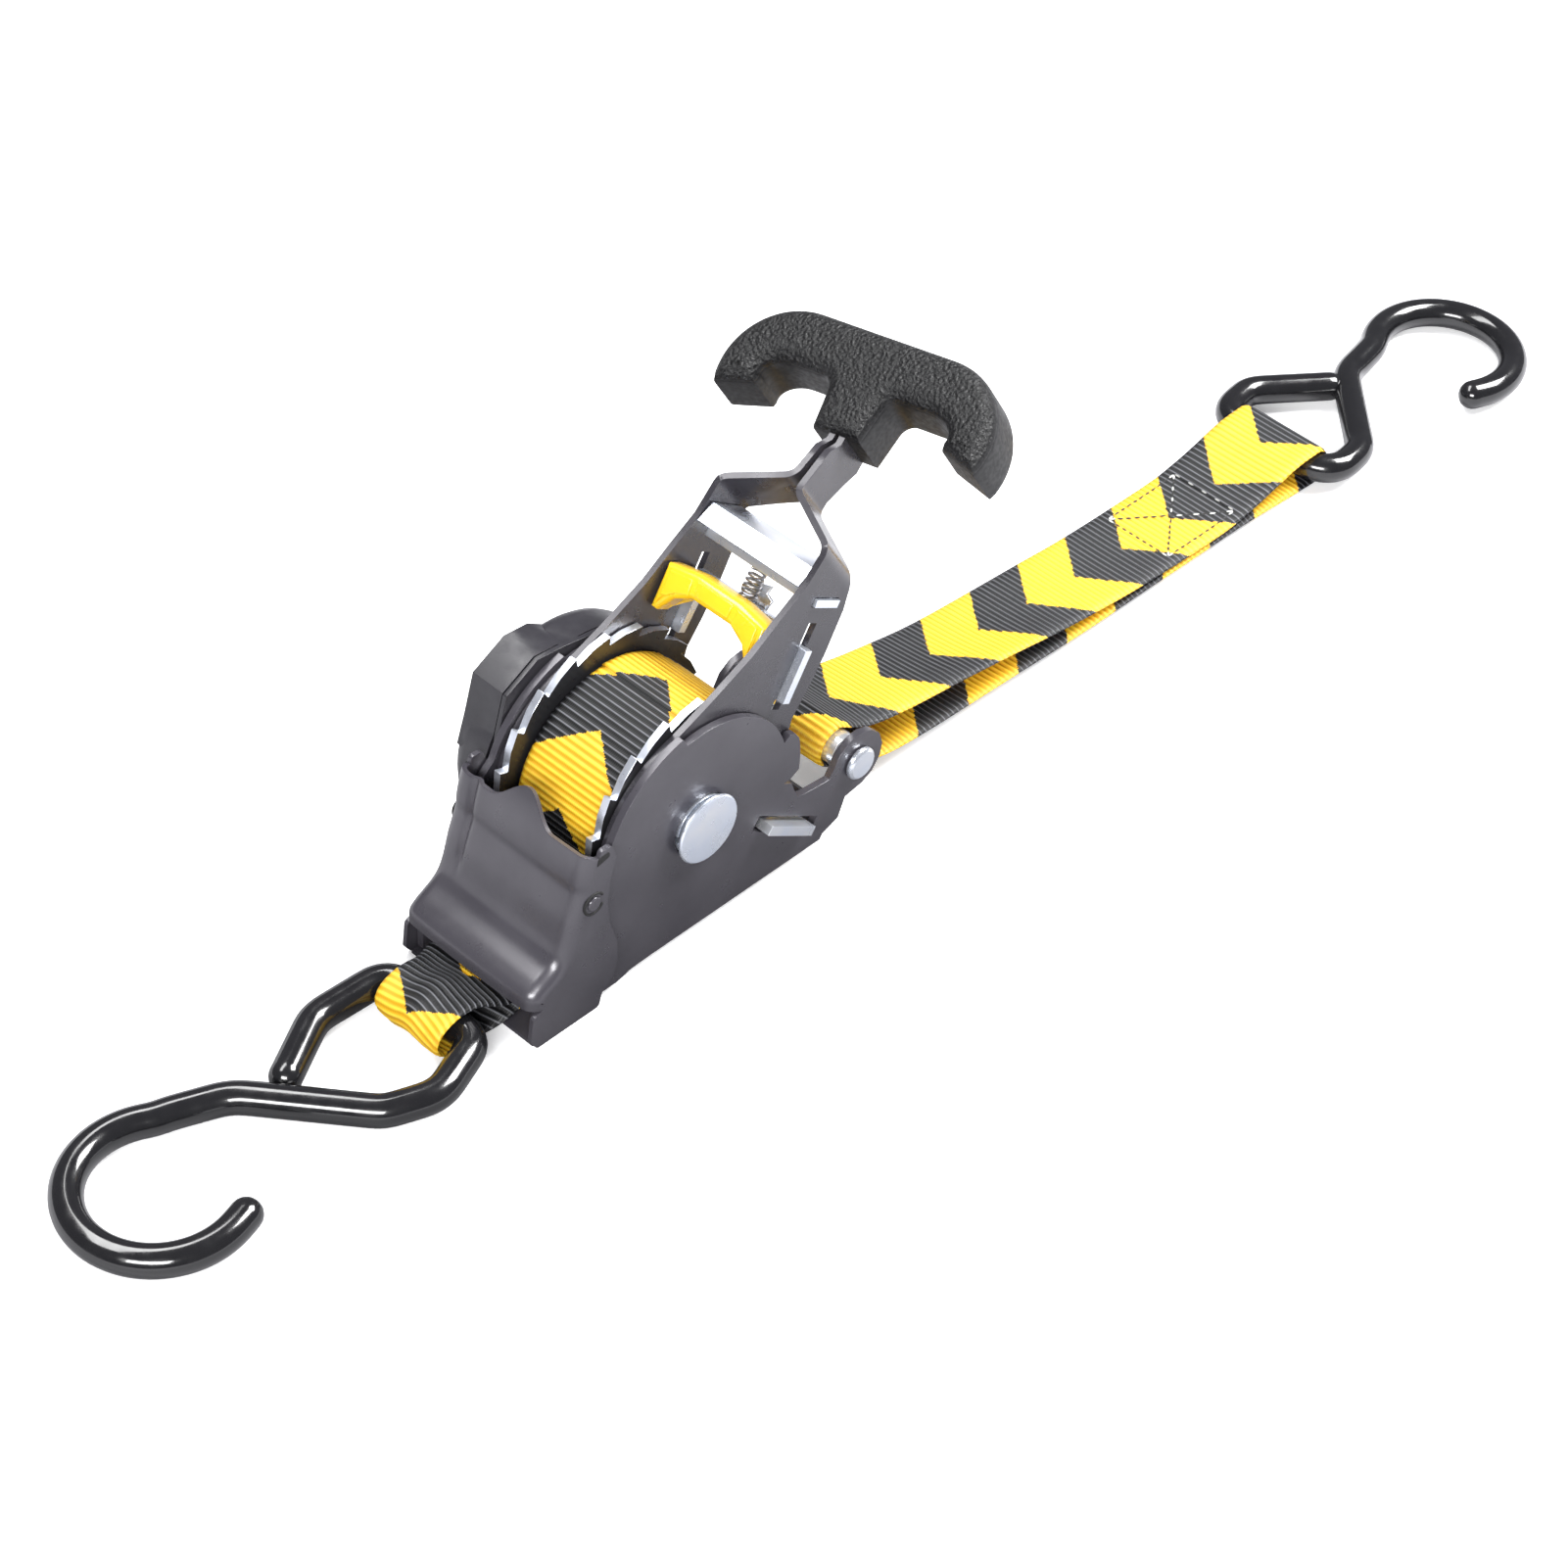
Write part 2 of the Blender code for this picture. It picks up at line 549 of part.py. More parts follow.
# ---------------------------------------------------------------- handle pawl and trigger
# The pawl is a plate with a leg down to each wheel and an ear in each arm's slot.
pawl_plate = [(28.8, -18.8), (41.8, -18.8), (41.8, -14.8), (43.8, -14.8), (43.8, 14.8),
              (41.8, 14.8), (41.8, 18.8), (28.8, 18.8), (28.8, 12.9), (38.0, 12.4),
              (40.8, 6.0), (40.8, -6.0), (38.0, -12.4), (28.8, -12.9)]
flat_solid("handle_pawl", [pawl_plate], 2.2,
           tilted(HANDLE_DEG) @ Matrix.Translation((0, 0, -PAWL_OFFSET * MM)), ZINC)
trigger_front = [(34.6, 14.9), (45.2, 14.9), (46.6, 6.2), (46.6, -6.2), (45.2, -14.9),
                 (34.6, -14.9), (34.6, -13.2), (38.8, -10.2), (41.0, -5.6), (41.0, 5.6),
                 (38.8, 10.2), (34.6, 13.2)]
trigger = flat_solid("trigger", [rounded(trigger_front, 1.2, 2)], 6.4,
                     tilted(HANDLE_DEG) @ Matrix.Translation((0, 0, -0.0020)), YELLOW_PLASTIC)
for sign in (-1, 1):
    cheek = turned_section([(35.6, -3.0), (44.0, -3.0), (42.6, -10.5), (36.8, -10.5)])
    combine(trigger, side_solid(f"cheek_{sign}", [cheek], sign * 12.6, sign * 14.8,
                                YELLOW_PLASTIC), "UNION")


# ---------------------------------------------------------------- webbing ends
def on_ground(x):
    """Side-view pivot on the ground at x."""
    return (x, 0.0)


lead_top = [(3.0, 7.2), (-44.0, 7.4), (-52.0, 8.6), (-57.0, 10.2)]
lead_loop = arc(0, EYE_Z, WIRE_R + 0.5 + WEB_THICK * 0.9, 90, 270, 12)
lead_bottom = [(-54.0, 1.6), (-50.0, 4.6), (-44.0, 6.0), (3.0, 5.9)]
lead = lead_top + [(x + FRONT_EYE_X, z) for x, z in lead_loop] + lead_bottom
lead_hole = circle(FRONT_EYE_X, EYE_Z, WIRE_R + 0.5, 24)
lead_web = side_solid("front_webbing", [lead, lead_hole], -WEB_HALF - 1, WEB_HALF + 1, WEBBING,
                      on_ground(0.0))
gathered = [(5.0, WEB_HALF), (-49.0, WEB_HALF), (-56.0, 10.0), (-68.0, 10.0), (-68.0, -10.0),
            (-56.0, -10.0), (-49.0, -WEB_HALF), (5.0, -WEB_HALF)]
combine(lead_web, flat_solid("gather", [gathered], 30.0, Matrix.Identity(4), WEBBING),
        "INTERSECT")

tube_loop = arc(PIN_X, PIN_Z + AXLE_Z, TUBE_R + 0.35 + WEB_THICK / 2, 250, 75, 10)
upper_run = [(60.0, 19.9), (72.0, 17.0), (88.0, 14.2), (104.0, 11.2), (123.0, 8.3), (140.0, 6.5),
             (158.0, 5.1), (186.0, 4.6), (198.0, 5.9), (208.0, 8.2), (215.0, 9.8)]
hook_loop = arc(REAR_EYE_X, EYE_Z, WIRE_R + 0.35 + WEB_THICK / 2, 95, -95, 10)
lower_run = [(212.0, 1.3), (200.0, 2.2), (188.0, 2.7), (160.0, 2.7), (140.0, 2.7), (120.0, 3.2),
             (103.0, 3.8), (84.0, 5.0), (67.0, 7.0), (58.0, 10.5)]
rear_line = tube_loop + upper_run + hook_loop + lower_run
side_solid("rear_webbing", [offset_side(rear_line, WEB_THICK / 2, True),
                            offset_side(rear_line, -WEB_THICK / 2, True)],
           -WEB_HALF, WEB_HALF, WEBBING, on_ground(0.0))


# ---------------------------------------------------------------- hooks
def bent(corners, steps=4):
    """An open polyline with each inner corner rounded; corners are (x, y, radius)."""
    points = [corners[0][:2]]
    for before, corner, after in zip(corners, corners[1:], corners[2:]):
        p = Vector(corner[:2])
        a = (Vector(before[:2]) - p).normalized()
        b = (Vector(after[:2]) - p).normalized()
        half = a.angle(b) / 2
        reach = corner[2] / math.tan(half)
        centre = p + (a + b).normalized() * (corner[2] / math.sin(half))
        first, last = p + a * reach - centre, p + b * reach - centre
        for i in range(steps + 1):
            blend = first.slerp(last, i / steps)
            points.append(tuple(centre + blend.normalized() * corner[2]))
    return points + [corners[-1][:2]]


def hook_line(eye, bow_centre, bow_radius, bow_span, tip_length):
    """An S-hook: an eye round the webbing, a shank and an open round hook.

    The eye is held up by the webbing under it, and the bow droops to the ground.
    """
    line = bent(eye)
    bow = arc(*bow_centre, bow_radius, *bow_span, 16)
    heading = math.radians(bow_span[1] - 90)
    tip = (bow[-1][0] + tip_length * math.cos(heading), bow[-1][1] + tip_length * math.sin(heading))
    return [(x, y, -HOOK_DROOP * x) for x, y in line + bow + [tip]]


HOOK_DROOP = 0.0185
FRONT_EYE = [(33.6, 7.4, 0), (20.0, 15.0, 8), (0.0, 13.8, 4.5), (0.0, -13.6, 4.5),
             (15.5, -19.6, 9), (27.0, -15.0, 6), (46.8, 10.2, 12), (59.4, 15.6, 0)]
REAR_EYE = [(24.8, 8.0, 0), (12.5, 19.4, 6), (0.0, 17.6, 4), (0.0, -17.2, 4), (14.5, -15.6, 9),
            (36.5, 6.8, 12), (50.4, 9.4, 0)]
front_hook_line = hook_line(FRONT_EYE, (73.3, 1.0), 18.9, (126, -106), 3.0)
rear_hook_line = hook_line(REAR_EYE, (63.2, -4.3), 18.0, (124, -112), 2.0)
wire("front_hook", [(-x, y, z) for x, y, z in front_hook_line], WIRE_R,
     Matrix.Translation((FRONT_EYE_X * MM, 0, EYE_Z * MM)), BLACK_VINYL)
wire("rear_hook", rear_hook_line, WIRE_R,
     Matrix.Translation((REAR_EYE_X * MM, 0, EYE_Z * MM)), BLACK_VINYL)
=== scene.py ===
"""Looks for the one inch self-retracting ratchet strap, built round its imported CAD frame.

Lengths in this file are millimetres in the frame's own axes (+X to the rear strap, +Z up,
-Y the near side); builders turn them into metres.  Side-view points are measured from the
drum axle unless a comment says that they are measured from the ground.
"""
import json
import math

import bmesh
import bpy
import numpy as np
from mathutils import Matrix, Vector


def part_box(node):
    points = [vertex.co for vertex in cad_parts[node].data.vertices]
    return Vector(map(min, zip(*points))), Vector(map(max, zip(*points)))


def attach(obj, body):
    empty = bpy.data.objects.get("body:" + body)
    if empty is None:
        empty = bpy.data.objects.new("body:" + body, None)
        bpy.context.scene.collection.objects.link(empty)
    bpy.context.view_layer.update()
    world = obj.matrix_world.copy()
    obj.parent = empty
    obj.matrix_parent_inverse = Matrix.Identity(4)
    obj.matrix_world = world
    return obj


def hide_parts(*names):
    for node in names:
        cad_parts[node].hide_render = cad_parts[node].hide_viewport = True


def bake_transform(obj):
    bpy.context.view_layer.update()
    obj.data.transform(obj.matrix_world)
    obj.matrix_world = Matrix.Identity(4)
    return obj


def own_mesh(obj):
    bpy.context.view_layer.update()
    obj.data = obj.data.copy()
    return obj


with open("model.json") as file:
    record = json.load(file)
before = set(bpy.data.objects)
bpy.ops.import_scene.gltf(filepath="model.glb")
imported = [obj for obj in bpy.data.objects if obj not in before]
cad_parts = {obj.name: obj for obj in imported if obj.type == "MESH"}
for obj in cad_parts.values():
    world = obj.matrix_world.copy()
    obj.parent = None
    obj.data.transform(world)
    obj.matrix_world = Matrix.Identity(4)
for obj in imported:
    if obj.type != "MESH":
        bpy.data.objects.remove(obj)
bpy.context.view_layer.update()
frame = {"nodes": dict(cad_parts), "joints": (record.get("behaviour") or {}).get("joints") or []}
NODES = frame["nodes"]
MM = 0.001
RIB = 1.6                 # pitch of the webbing's cross ribs
WEB_HALF = 12.5
CHEVRON_SLOPE = 0.85      # how far a chevron's edge runs along the webbing per mm across it


def centre_of(node):
    """Middle of a CAD node's box, in mm."""
    low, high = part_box(node)
    return (low + high) / 2 / MM


def joint_origin(name):
    """Where a joint turns, in mm."""
    joint = next(j for j in frame["joints"] if j["name"] == name)
    return Vector(joint["pos_m"]) / MM


AXLE = centre_of("wound_webbing")
PIN = centre_of("rear_spacer_tube")
FRONT_EYE_AT = joint_origin("front_hook_swing")
REAR_EYE_AT = joint_origin("rear_hook_swing")


# ---------------------------------------------------------------- node helpers
class Shader:
    """A Principled material with short calls for the nodes that this file uses."""

    def __init__(self, name, colour=(0.5, 0.5, 0.5), roughness=0.5, metallic=0.0, **inputs):
        self.mat = bpy.data.materials.new(name)
        self.mat.use_nodes = True
        self.tree = self.mat.node_tree
        self.bsdf = self.tree.nodes["Principled BSDF"]
        self.set("Base Color", (*colour, 1.0))
        self.set("Roughness", roughness)
        self.set("Metallic", metallic)
        for label, value in inputs.items():
            self.set(label.replace("_", " "), value)

    def set(self, label, value):
        """Give a shader input a socket or a plain value."""
        self.feed(self.bsdf.inputs[label], value)

    def feed(self, socket, value):
        if isinstance(value, bpy.types.NodeSocket):
            self.tree.links.new(value, socket)
        else:
            socket.default_value = value

    def node(self, kind, **settings):
        new = self.tree.nodes.new(kind)
        for key, value in settings.items():
            setattr(new, key, value)
        return new

    def math(self, operation, a, b=0.0, c=0.0):
        new = self.node("ShaderNodeMath", operation=operation)
        for socket, value in zip(new.inputs, (a, b, c)):
            self.feed(socket, value)
        return new.outputs[0]

    def coordinates(self, which="Object"):
        return self.node("ShaderNodeTexCoord").outputs[which]

    def noise(self, scale, detail=2.0, roughness=0.5, vector=None):
        new = self.node("ShaderNodeTexNoise")
        self.feed(new.inputs["Vector"], vector or self.coordinates())
        new.inputs["Scale"].default_value = scale
        new.inputs["Detail"].default_value = detail
        new.inputs["Roughness"].default_value = roughness
        return new.outputs["Fac"]

    def spread(self, value, low, high, start=0.3, end=0.7):
        """Map start..end of a value to low..high."""
        new = self.node("ShaderNodeMapRange")
        for label, number in (("From Min", start), ("From Max", end), ("To Min", low),
                              ("To Max", high)):
            new.inputs[label].default_value = number
        self.feed(new.inputs["Value"], value)
        return new.outputs[0]

    def blend(self, factor, a, b):
        new = self.node("ShaderNodeMix", data_type="RGBA")
        self.feed(new.inputs[0], factor)
        self.feed(new.inputs[6], a if isinstance(a, bpy.types.NodeSocket) else (*a, 1.0))
        self.feed(new.inputs[7], b if isinstance(b, bpy.types.NodeSocket) else (*b, 1.0))
        return new.outputs[2]

    def bump(self, height, strength, distance=0.0001):
        """Chain a bump onto the shader's normal."""
        new = self.node("ShaderNodeBump")
        new.inputs["Strength"].default_value = strength
        new.inputs["Distance"].default_value = distance
        self.feed(new.inputs["Height"], height)
        before = self.bsdf.inputs["Normal"].links
        if before:
            self.feed(new.inputs["Normal"], before[0].from_socket)
        self.set("Normal", new.outputs[0])


# ---------------------------------------------------------------- materials
def paint(name, dark, light, roughness, coat=0.15):
    """Satin powder coat: orange peel, faint clouding and fine rubbing marks."""
    s = Shader(name, roughness=roughness, metallic=0.25, Coat_Weight=coat, Coat_Roughness=0.25)
    cloud = s.noise(45, 3)
    s.set("Base Color", s.blend(s.spread(cloud, 0, 1), dark, light))
    s.set("Roughness", s.spread(s.noise(160, 4, 0.6), roughness - 0.05, roughness + 0.07))
    s.bump(s.noise(1500, 1), 0.05, 0.00004)
    s.bump(s.noise(260, 2), 0.08, 0.00010)
    return s.mat


def plated(name, base, tint, roughness):
    """Bright zinc plate: bluish, with a trace of passivation colour and rolling marks."""
    s = Shader(name, roughness=roughness, metallic=0.85)
    s.set("Base Color", s.blend(s.spread(s.noise(90, 2), 0, 1, 0.35, 0.75), base, tint))
    s.set("Roughness", s.spread(s.noise(150, 2, 0.5), roughness - 0.03, roughness + 0.05))
    s.bump(s.noise(120, 1, 0.5), 0.03, 0.00002)
    return s.mat


def wheel_plate():
    """Zinc plate on the toothed wheels, bright on the teeth, with painted shade (nearly black, less
    metallic) on the flat sides.
    """
    s = Shader("zinc_plate_wheel_shaded_sides", roughness=0.30)
    split = s.node("ShaderNodeSeparateXYZ")
    s.feed(split.inputs[0], s.coordinates("Normal"))
    # Faces pointing along Y (the wheel's flat sides) get painted shade, nearly black.
    side = s.spread(s.math("ABSOLUTE", split.outputs["Y"]), 0.0, 1.0, 0.55, 0.85)
    s.set("Base Color", s.blend(side, (0.80, 0.84, 0.92), (0.018, 0.018, 0.020)))
    s.set("Metallic", s.spread(side, 0.85, 0.2, 0.0, 1.0))
    s.set("Roughness", s.spread(s.noise(600, 3, 0.6), 0.26, 0.40))
    return s.mat


def vinyl():
    """Thick dipped vinyl coat on the hook wire: glossy, a little uneven."""
    s = Shader("black_vinyl", (0.007, 0.007, 0.008), 0.16, Coat_Weight=0.6, Coat_Roughness=0.06)
    s.set("Roughness", s.spread(s.noise(300, 2), 0.12, 0.24))
    s.bump(s.noise(130, 1), 0.25, 0.00025)
    s.bump(s.noise(1400, 2), 0.06, 0.00003)
    return s.mat


def rubber(front):
    """Moulded rubber of the T-grip: pebbled on its two faces, smooth round the rim."""
    s = Shader("black_rubber", (0.012, 0.012, 0.013), 0.5, Specular_IOR_Level=0.5)
    facing = s.node("ShaderNodeVectorMath", operation="DOT_PRODUCT")
    s.feed(facing.inputs[0], s.coordinates("Normal"))
    facing.inputs[1].default_value = front
    pebbled = s.spread(s.math("ABSOLUTE", facing.outputs["Value"]), 0.0, 1.0, 0.25, 0.6)
    cells = s.node("ShaderNodeTexVoronoi", feature="SMOOTH_F1")
    s.feed(cells.inputs["Vector"], s.coordinates())
    cells.inputs["Scale"].default_value = 1150
    grain = s.math("ADD", cells.outputs["Distance"], s.noise(1500, 2))
    s.bump(s.math("MULTIPLY", grain, pebbled), 1.0, 0.0006)
    s.bump(s.noise(420, 3, 0.6), 0.25, 0.0001)
    s.set("Base Color", s.blend(s.spread(s.noise(700, 3), 0, 1), (0.002, 0.002, 0.0025),
                                (0.005, 0.005, 0.0056)))
    s.set("Roughness", s.spread(s.noise(900, 2), 0.42, 0.60))
    return s.mat


def plastic(name, colour, deep, roughness, grain=0.12, **inputs):
    """Moulded plastic with flow clouding and a fine spark-eroded grain."""
    s = Shader(name, roughness=roughness, **inputs)
    s.set("Base Color", s.blend(s.spread(s.noise(70, 3), 0, 1), deep, colour))
    s.set("Roughness", s.spread(s.noise(400, 2), roughness - 0.05, roughness + 0.08))
    s.bump(s.noise(1800, 2), grain, 0.00006)
    return s.mat


# Crest colours are painted highlight on the webbing's ribs; groove colours are painted shade between
# them.
YELLOW_CREST_HIGHLIGHT, YELLOW_GROOVE_SHADE = (0.98, 0.68, 0.06), (0.66, 0.33, 0.005)
BLACK_CREST_HIGHLIGHT, BLACK_GROOVE_SHADE = (0.15, 0.155, 0.17), (0.0012, 0.0014, 0.002)


def webbing(name, along, across, first, pitch, slope=CHEVRON_SLOPE):
    """Ribbed polyester webbing with woven chevrons; the rib crests are painted lighter and the grooves
    darker, as painted highlight and shade.

    along and across give sockets in mm; yellow starts at first and changes every pitch.
    """
    s = Shader(name, roughness=0.48)
    u, v = along(s), across(s)
    rib = s.math("ADD", s.math("MULTIPLY", s.math("COSINE", s.math(
        "MULTIPLY", u, 2 * math.pi / RIB)), 0.5), 0.5)
    jag = s.math("MULTIPLY", s.math("ROUND", s.math("DIVIDE", v, 0.45)), 0.45)
    shifted = s.math("SUBTRACT", u, s.math("MULTIPLY", s.math("ABSOLUTE", jag), slope))
    ragged = s.math("ADD", shifted, s.spread(s.noise(900, 1), -0.25, 0.25))
    phase = s.math("FLOORED_MODULO", s.math("DIVIDE", s.math("SUBTRACT", ragged, first),
                                            2 * pitch), 1.0)
    is_black = s.math("GREATER_THAN", phase, 0.5)
    # Noise that makes the painted rib highlight stronger or weaker from place to place.
    crest_light_noise = s.spread(s.noise(220, 4, 0.65), 0.75, 1.1)
    lit = s.math("MULTIPLY", s.math("POWER", rib, 1.6), crest_light_noise)
    yellow = s.blend(lit, YELLOW_GROOVE_SHADE, YELLOW_CREST_HIGHLIGHT)
    black = s.blend(s.math("MULTIPLY", s.math("POWER", rib, 9.0), crest_light_noise), BLACK_GROOVE_SHADE, BLACK_CREST_HIGHLIGHT)
    s.set("Base Color", s.blend(is_black, yellow, black))
    strands = s.math("SINE", s.math("ADD", s.math("MULTIPLY", v, 2 * math.pi / 0.5),
                                    s.math("MULTIPLY", u, 1.1)))
    s.bump(strands, 0.35, 0.00008)
    s.bump(s.noise(1500, 3, 0.7), 0.25, 0.00010)
    return s.mat


def uv_axis(index):
    """A webbing coordinate that is stored on the mesh, in mm."""
    def read(s):
        uv = s.node("ShaderNodeUVMap", uv_map="webbing_mm")
        split = s.node("ShaderNodeSeparateXYZ")
        s.feed(split.inputs[0], uv.outputs[0])
        return split.outputs[index]
    return read


def place_axis(index, sign):
    """A webbing coordinate that is read from where the surface is, in mm."""
    def read(s):
        split = s.node("ShaderNodeSeparateXYZ")
        s.feed(split.inputs[0], s.coordinates())
        return s.math("MULTIPLY", split.outputs[index], sign / MM)
    return read


GREY = paint("grey_paint", (0.050, 0.047, 0.057), (0.074, 0.070, 0.082), 0.31, 0.45)
# The handle arms use a darker copy of the grey paint: painted shade on arms that sit inboard of the
# side plates.
SHADED_ARM_GREY = paint("grey_paint_arm_shaded", (0.034, 0.032, 0.039), (0.052, 0.049, 0.058), 0.28, 0.45)
WHEEL = wheel_plate()
ZINC = plated("zinc_plate", (0.78, 0.84, 0.95), (0.93, 0.94, 0.95), 0.28)
STEEL = plated("spring_steel", (0.55, 0.55, 0.57), (0.40, 0.39, 0.38), 0.30)
VINYL = vinyl()
RUBBER = rubber((-0.53, 0.0, 0.848))
HOUSING = plastic("dark_plastic", (0.026, 0.025, 0.030), (0.019, 0.018, 0.022), 0.34)
YELLOW = plastic("yellow_plastic", (0.93, 0.60, 0.02), (0.86, 0.52, 0.012), 0.22, 0.05,
                 Coat_Weight=0.4, Subsurface_Weight=0.08, Subsurface_Scale=0.002)
LAP_FIRST, LAP_PITCH = 11.0, 17.45
COIL_PITCH = 19.2
REAR_WEB = webbing("webbing", uv_axis(0), uv_axis(1), LAP_FIRST, LAP_PITCH)
COIL_WEB = webbing("webbing_coil", uv_axis(0), uv_axis(1), COIL_PITCH, COIL_PITCH,
                   -CHEVRON_SLOPE)
LEAD_WEB = webbing("webbing_lead", uv_axis(0), uv_axis(1), 0.0, LAP_PITCH, -CHEVRON_SLOPE)
RUN_WEB = webbing("webbing_run", place_axis(0, -1), place_axis(1, 1), 62.0, LAP_PITCH,
                  -CHEVRON_SLOPE)
THREAD = plastic("stitch_thread", (0.03, 0.03, 0.03), (0.015, 0.015, 0.016), 0.6, 0.3)
PALE_THREAD = plastic("stitch_thread_pale", (0.62, 0.62, 0.60), (0.5, 0.5, 0.48), 0.6, 0.3)
SHADOW = plastic("dark_recess", (0.01, 0.01, 0.01), (0.006, 0.006, 0.006), 0.7)


# ---------------------------------------------------------------- plane geometry, in mm
def arc(cx, cy, radius, start, end, steps):
    """Points on an arc, from start to end in degrees."""
    angles = [math.radians(start + (end - start) * i / steps) for i in range(steps + 1)]
    return [(cx + radius * math.cos(a), cy + radius * math.sin(a)) for a in angles]


def circle(cx, cy, radius, steps=48):
    return arc(cx, cy, radius, 0, 360, steps)[:-1]


def block(along, across, degrees):
    """A rectangle given by its spans along and across a direction."""
    c, s = math.cos(math.radians(degrees)), math.sin(math.radians(degrees))
    corners = [(along[0], across[0]), (along[1], across[0]),
               (along[1], across[1]), (along[0], across[1])]
    return [(u * c - v * s, u * s + v * c) for u, v in corners]


def bent(corners, steps=10):
    """An open polyline with each inner corner rounded; corners are (x, y, radius)."""
    points = [corners[0][:2]]
    for before, corner, after in zip(corners, corners[1:], corners[2:]):
        p = Vector(corner[:2])
        a = (Vector(before[:2]) - p).normalized()
        b = (Vector(after[:2]) - p).normalized()
        half = a.angle(b) / 2
        if corner[2] == 0 or half > math.radians(89):
            points.append(corner[:2])
            continue
        reach = corner[2] / math.tan(half)
        centre = p + (a + b).normalized() * (corner[2] / math.sin(half))
        first, last = p + a * reach - centre, p + b * reach - centre
        for i in range(steps + 1):
            spoke = first.slerp(last, i / steps)
            points.append(tuple(centre + spoke.normalized() * corner[2]))
    return points + [corners[-1][:2]]


def smooth_path(points, step):
    """A soft curve through the points (Catmull-Rom), at even spacing."""
    p = np.array(points, float)
    p = np.vstack([2 * p[0] - p[1], p, 2 * p[-1] - p[-2]])
    dense = []
    for i in range(1, len(p) - 2):
        for k in range(24):
            t = k / 24
            dense.append(0.5 * (2 * p[i] + (p[i + 1] - p[i - 1]) * t
                                + (2 * p[i - 1] - 5 * p[i] + 4 * p[i + 1] - p[i + 2]) * t ** 2
                                + (3 * p[i] - p[i - 1] - 3 * p[i + 1] + p[i + 2]) * t ** 3))
    dense.append(p[-2])
    return even(np.array(dense), step)


def even(points, step):
    """A polyline at even spacing."""
    p = np.asarray(points, float)
    length = np.r_[0, np.cumsum(np.linalg.norm(np.diff(p, axis=0), axis=1))]
    count = max(2, int(round(length[-1] / step)))
    at = np.linspace(0, length[-1], count + 1)
    return np.stack([np.interp(at, length, p[:, k]) for k in range(p.shape[1])], axis=1)


# ---------------------------------------------------------------- mesh builders
def new_object(name, vertices, faces, mat, angle=40):
    """A smooth-shaded mesh object from points in mm."""
    mesh = bpy.data.meshes.new(name)
    mesh.from_pydata((np.asarray(vertices, float) * MM).tolist(), [], faces)
    mesh.materials.append(mat)
    mesh.validate()
    bm = bmesh.new()
    bm.from_mesh(mesh)
    bmesh.ops.recalc_face_normals(bm, faces=bm.faces)
    bm.to_mesh(mesh)
    bm.free()
    mesh.shade_smooth()
    mesh.set_sharp_from_angle(angle=math.radians(angle))
    obj = bpy.data.objects.new(name, mesh)
    bpy.context.scene.collection.objects.link(obj)
    return obj


def baked(obj):
    """Apply an object's modifiers, or turn a curve into a mesh, keeping name and material."""
    bpy.context.view_layer.update()
    name, mat = obj.name, obj.data.materials[0]
    evaluated = obj.evaluated_get(bpy.context.evaluated_depsgraph_get())
    mesh = bpy.data.meshes.new_from_object(evaluated)
    matrix = obj.matrix_world.copy()
    bpy.data.objects.remove(obj, do_unlink=True)
    mesh.transform(matrix)
    mesh.materials.clear()
    mesh.materials.append(mat)
    new = bpy.data.objects.new(name, mesh)
    bpy.context.scene.collection.objects.link(new)
    return new


def tube(name, path, radius, mat, sides=28, dome=True):
    """A round wire along a 3-D path, with domed ends."""
    p = np.asarray(path, float)
    radii = np.full(len(p), radius)
    if dome:
        start, end = p[0] - p[1], p[-1] - p[-2]
        start, end = start / np.linalg.norm(start), end / np.linalg.norm(end)
        turns = np.radians([84, 66, 48, 32, 16])
        first = np.array([p[0] + start * radius * math.sin(a) for a in turns])
        last = np.array([p[-1] + end * radius * math.sin(a) for a in turns[::-1]])
        p = np.vstack([first, p, last])
        radii = np.r_[radius * np.cos(turns), radii, radius * np.cos(turns[::-1])]
    tangents = np.gradient(p, axis=0)
    tangents /= np.linalg.norm(tangents, axis=1)[:, None]
    normal = np.cross(tangents[0], (0.0, 0.0, 1.0))
    if np.linalg.norm(normal) < 1e-3:
        normal = np.array((0.0, 1.0, 0.0))
    vertices, faces = [], []
    for centre, tangent, r in zip(p, tangents, radii):
        normal = normal - tangent * np.dot(normal, tangent)
        normal /= np.linalg.norm(normal)
        side = np.cross(tangent, normal)
        for k in range(sides):
            a = 2 * math.pi * k / sides
            vertices.append(centre + (normal * math.cos(a) + side * math.sin(a)) * r)
    for i in range(len(p) - 1):
        for k in range(sides):
            a, b = i * sides + k, i * sides + (k + 1) % sides
            faces.append((a, b, b + sides, a + sides))
    faces.append(tuple(range(sides)))
    faces.append(tuple(range((len(p) - 1) * sides, len(p) * sides)))
    return new_object(name, vertices, faces, mat, 60)


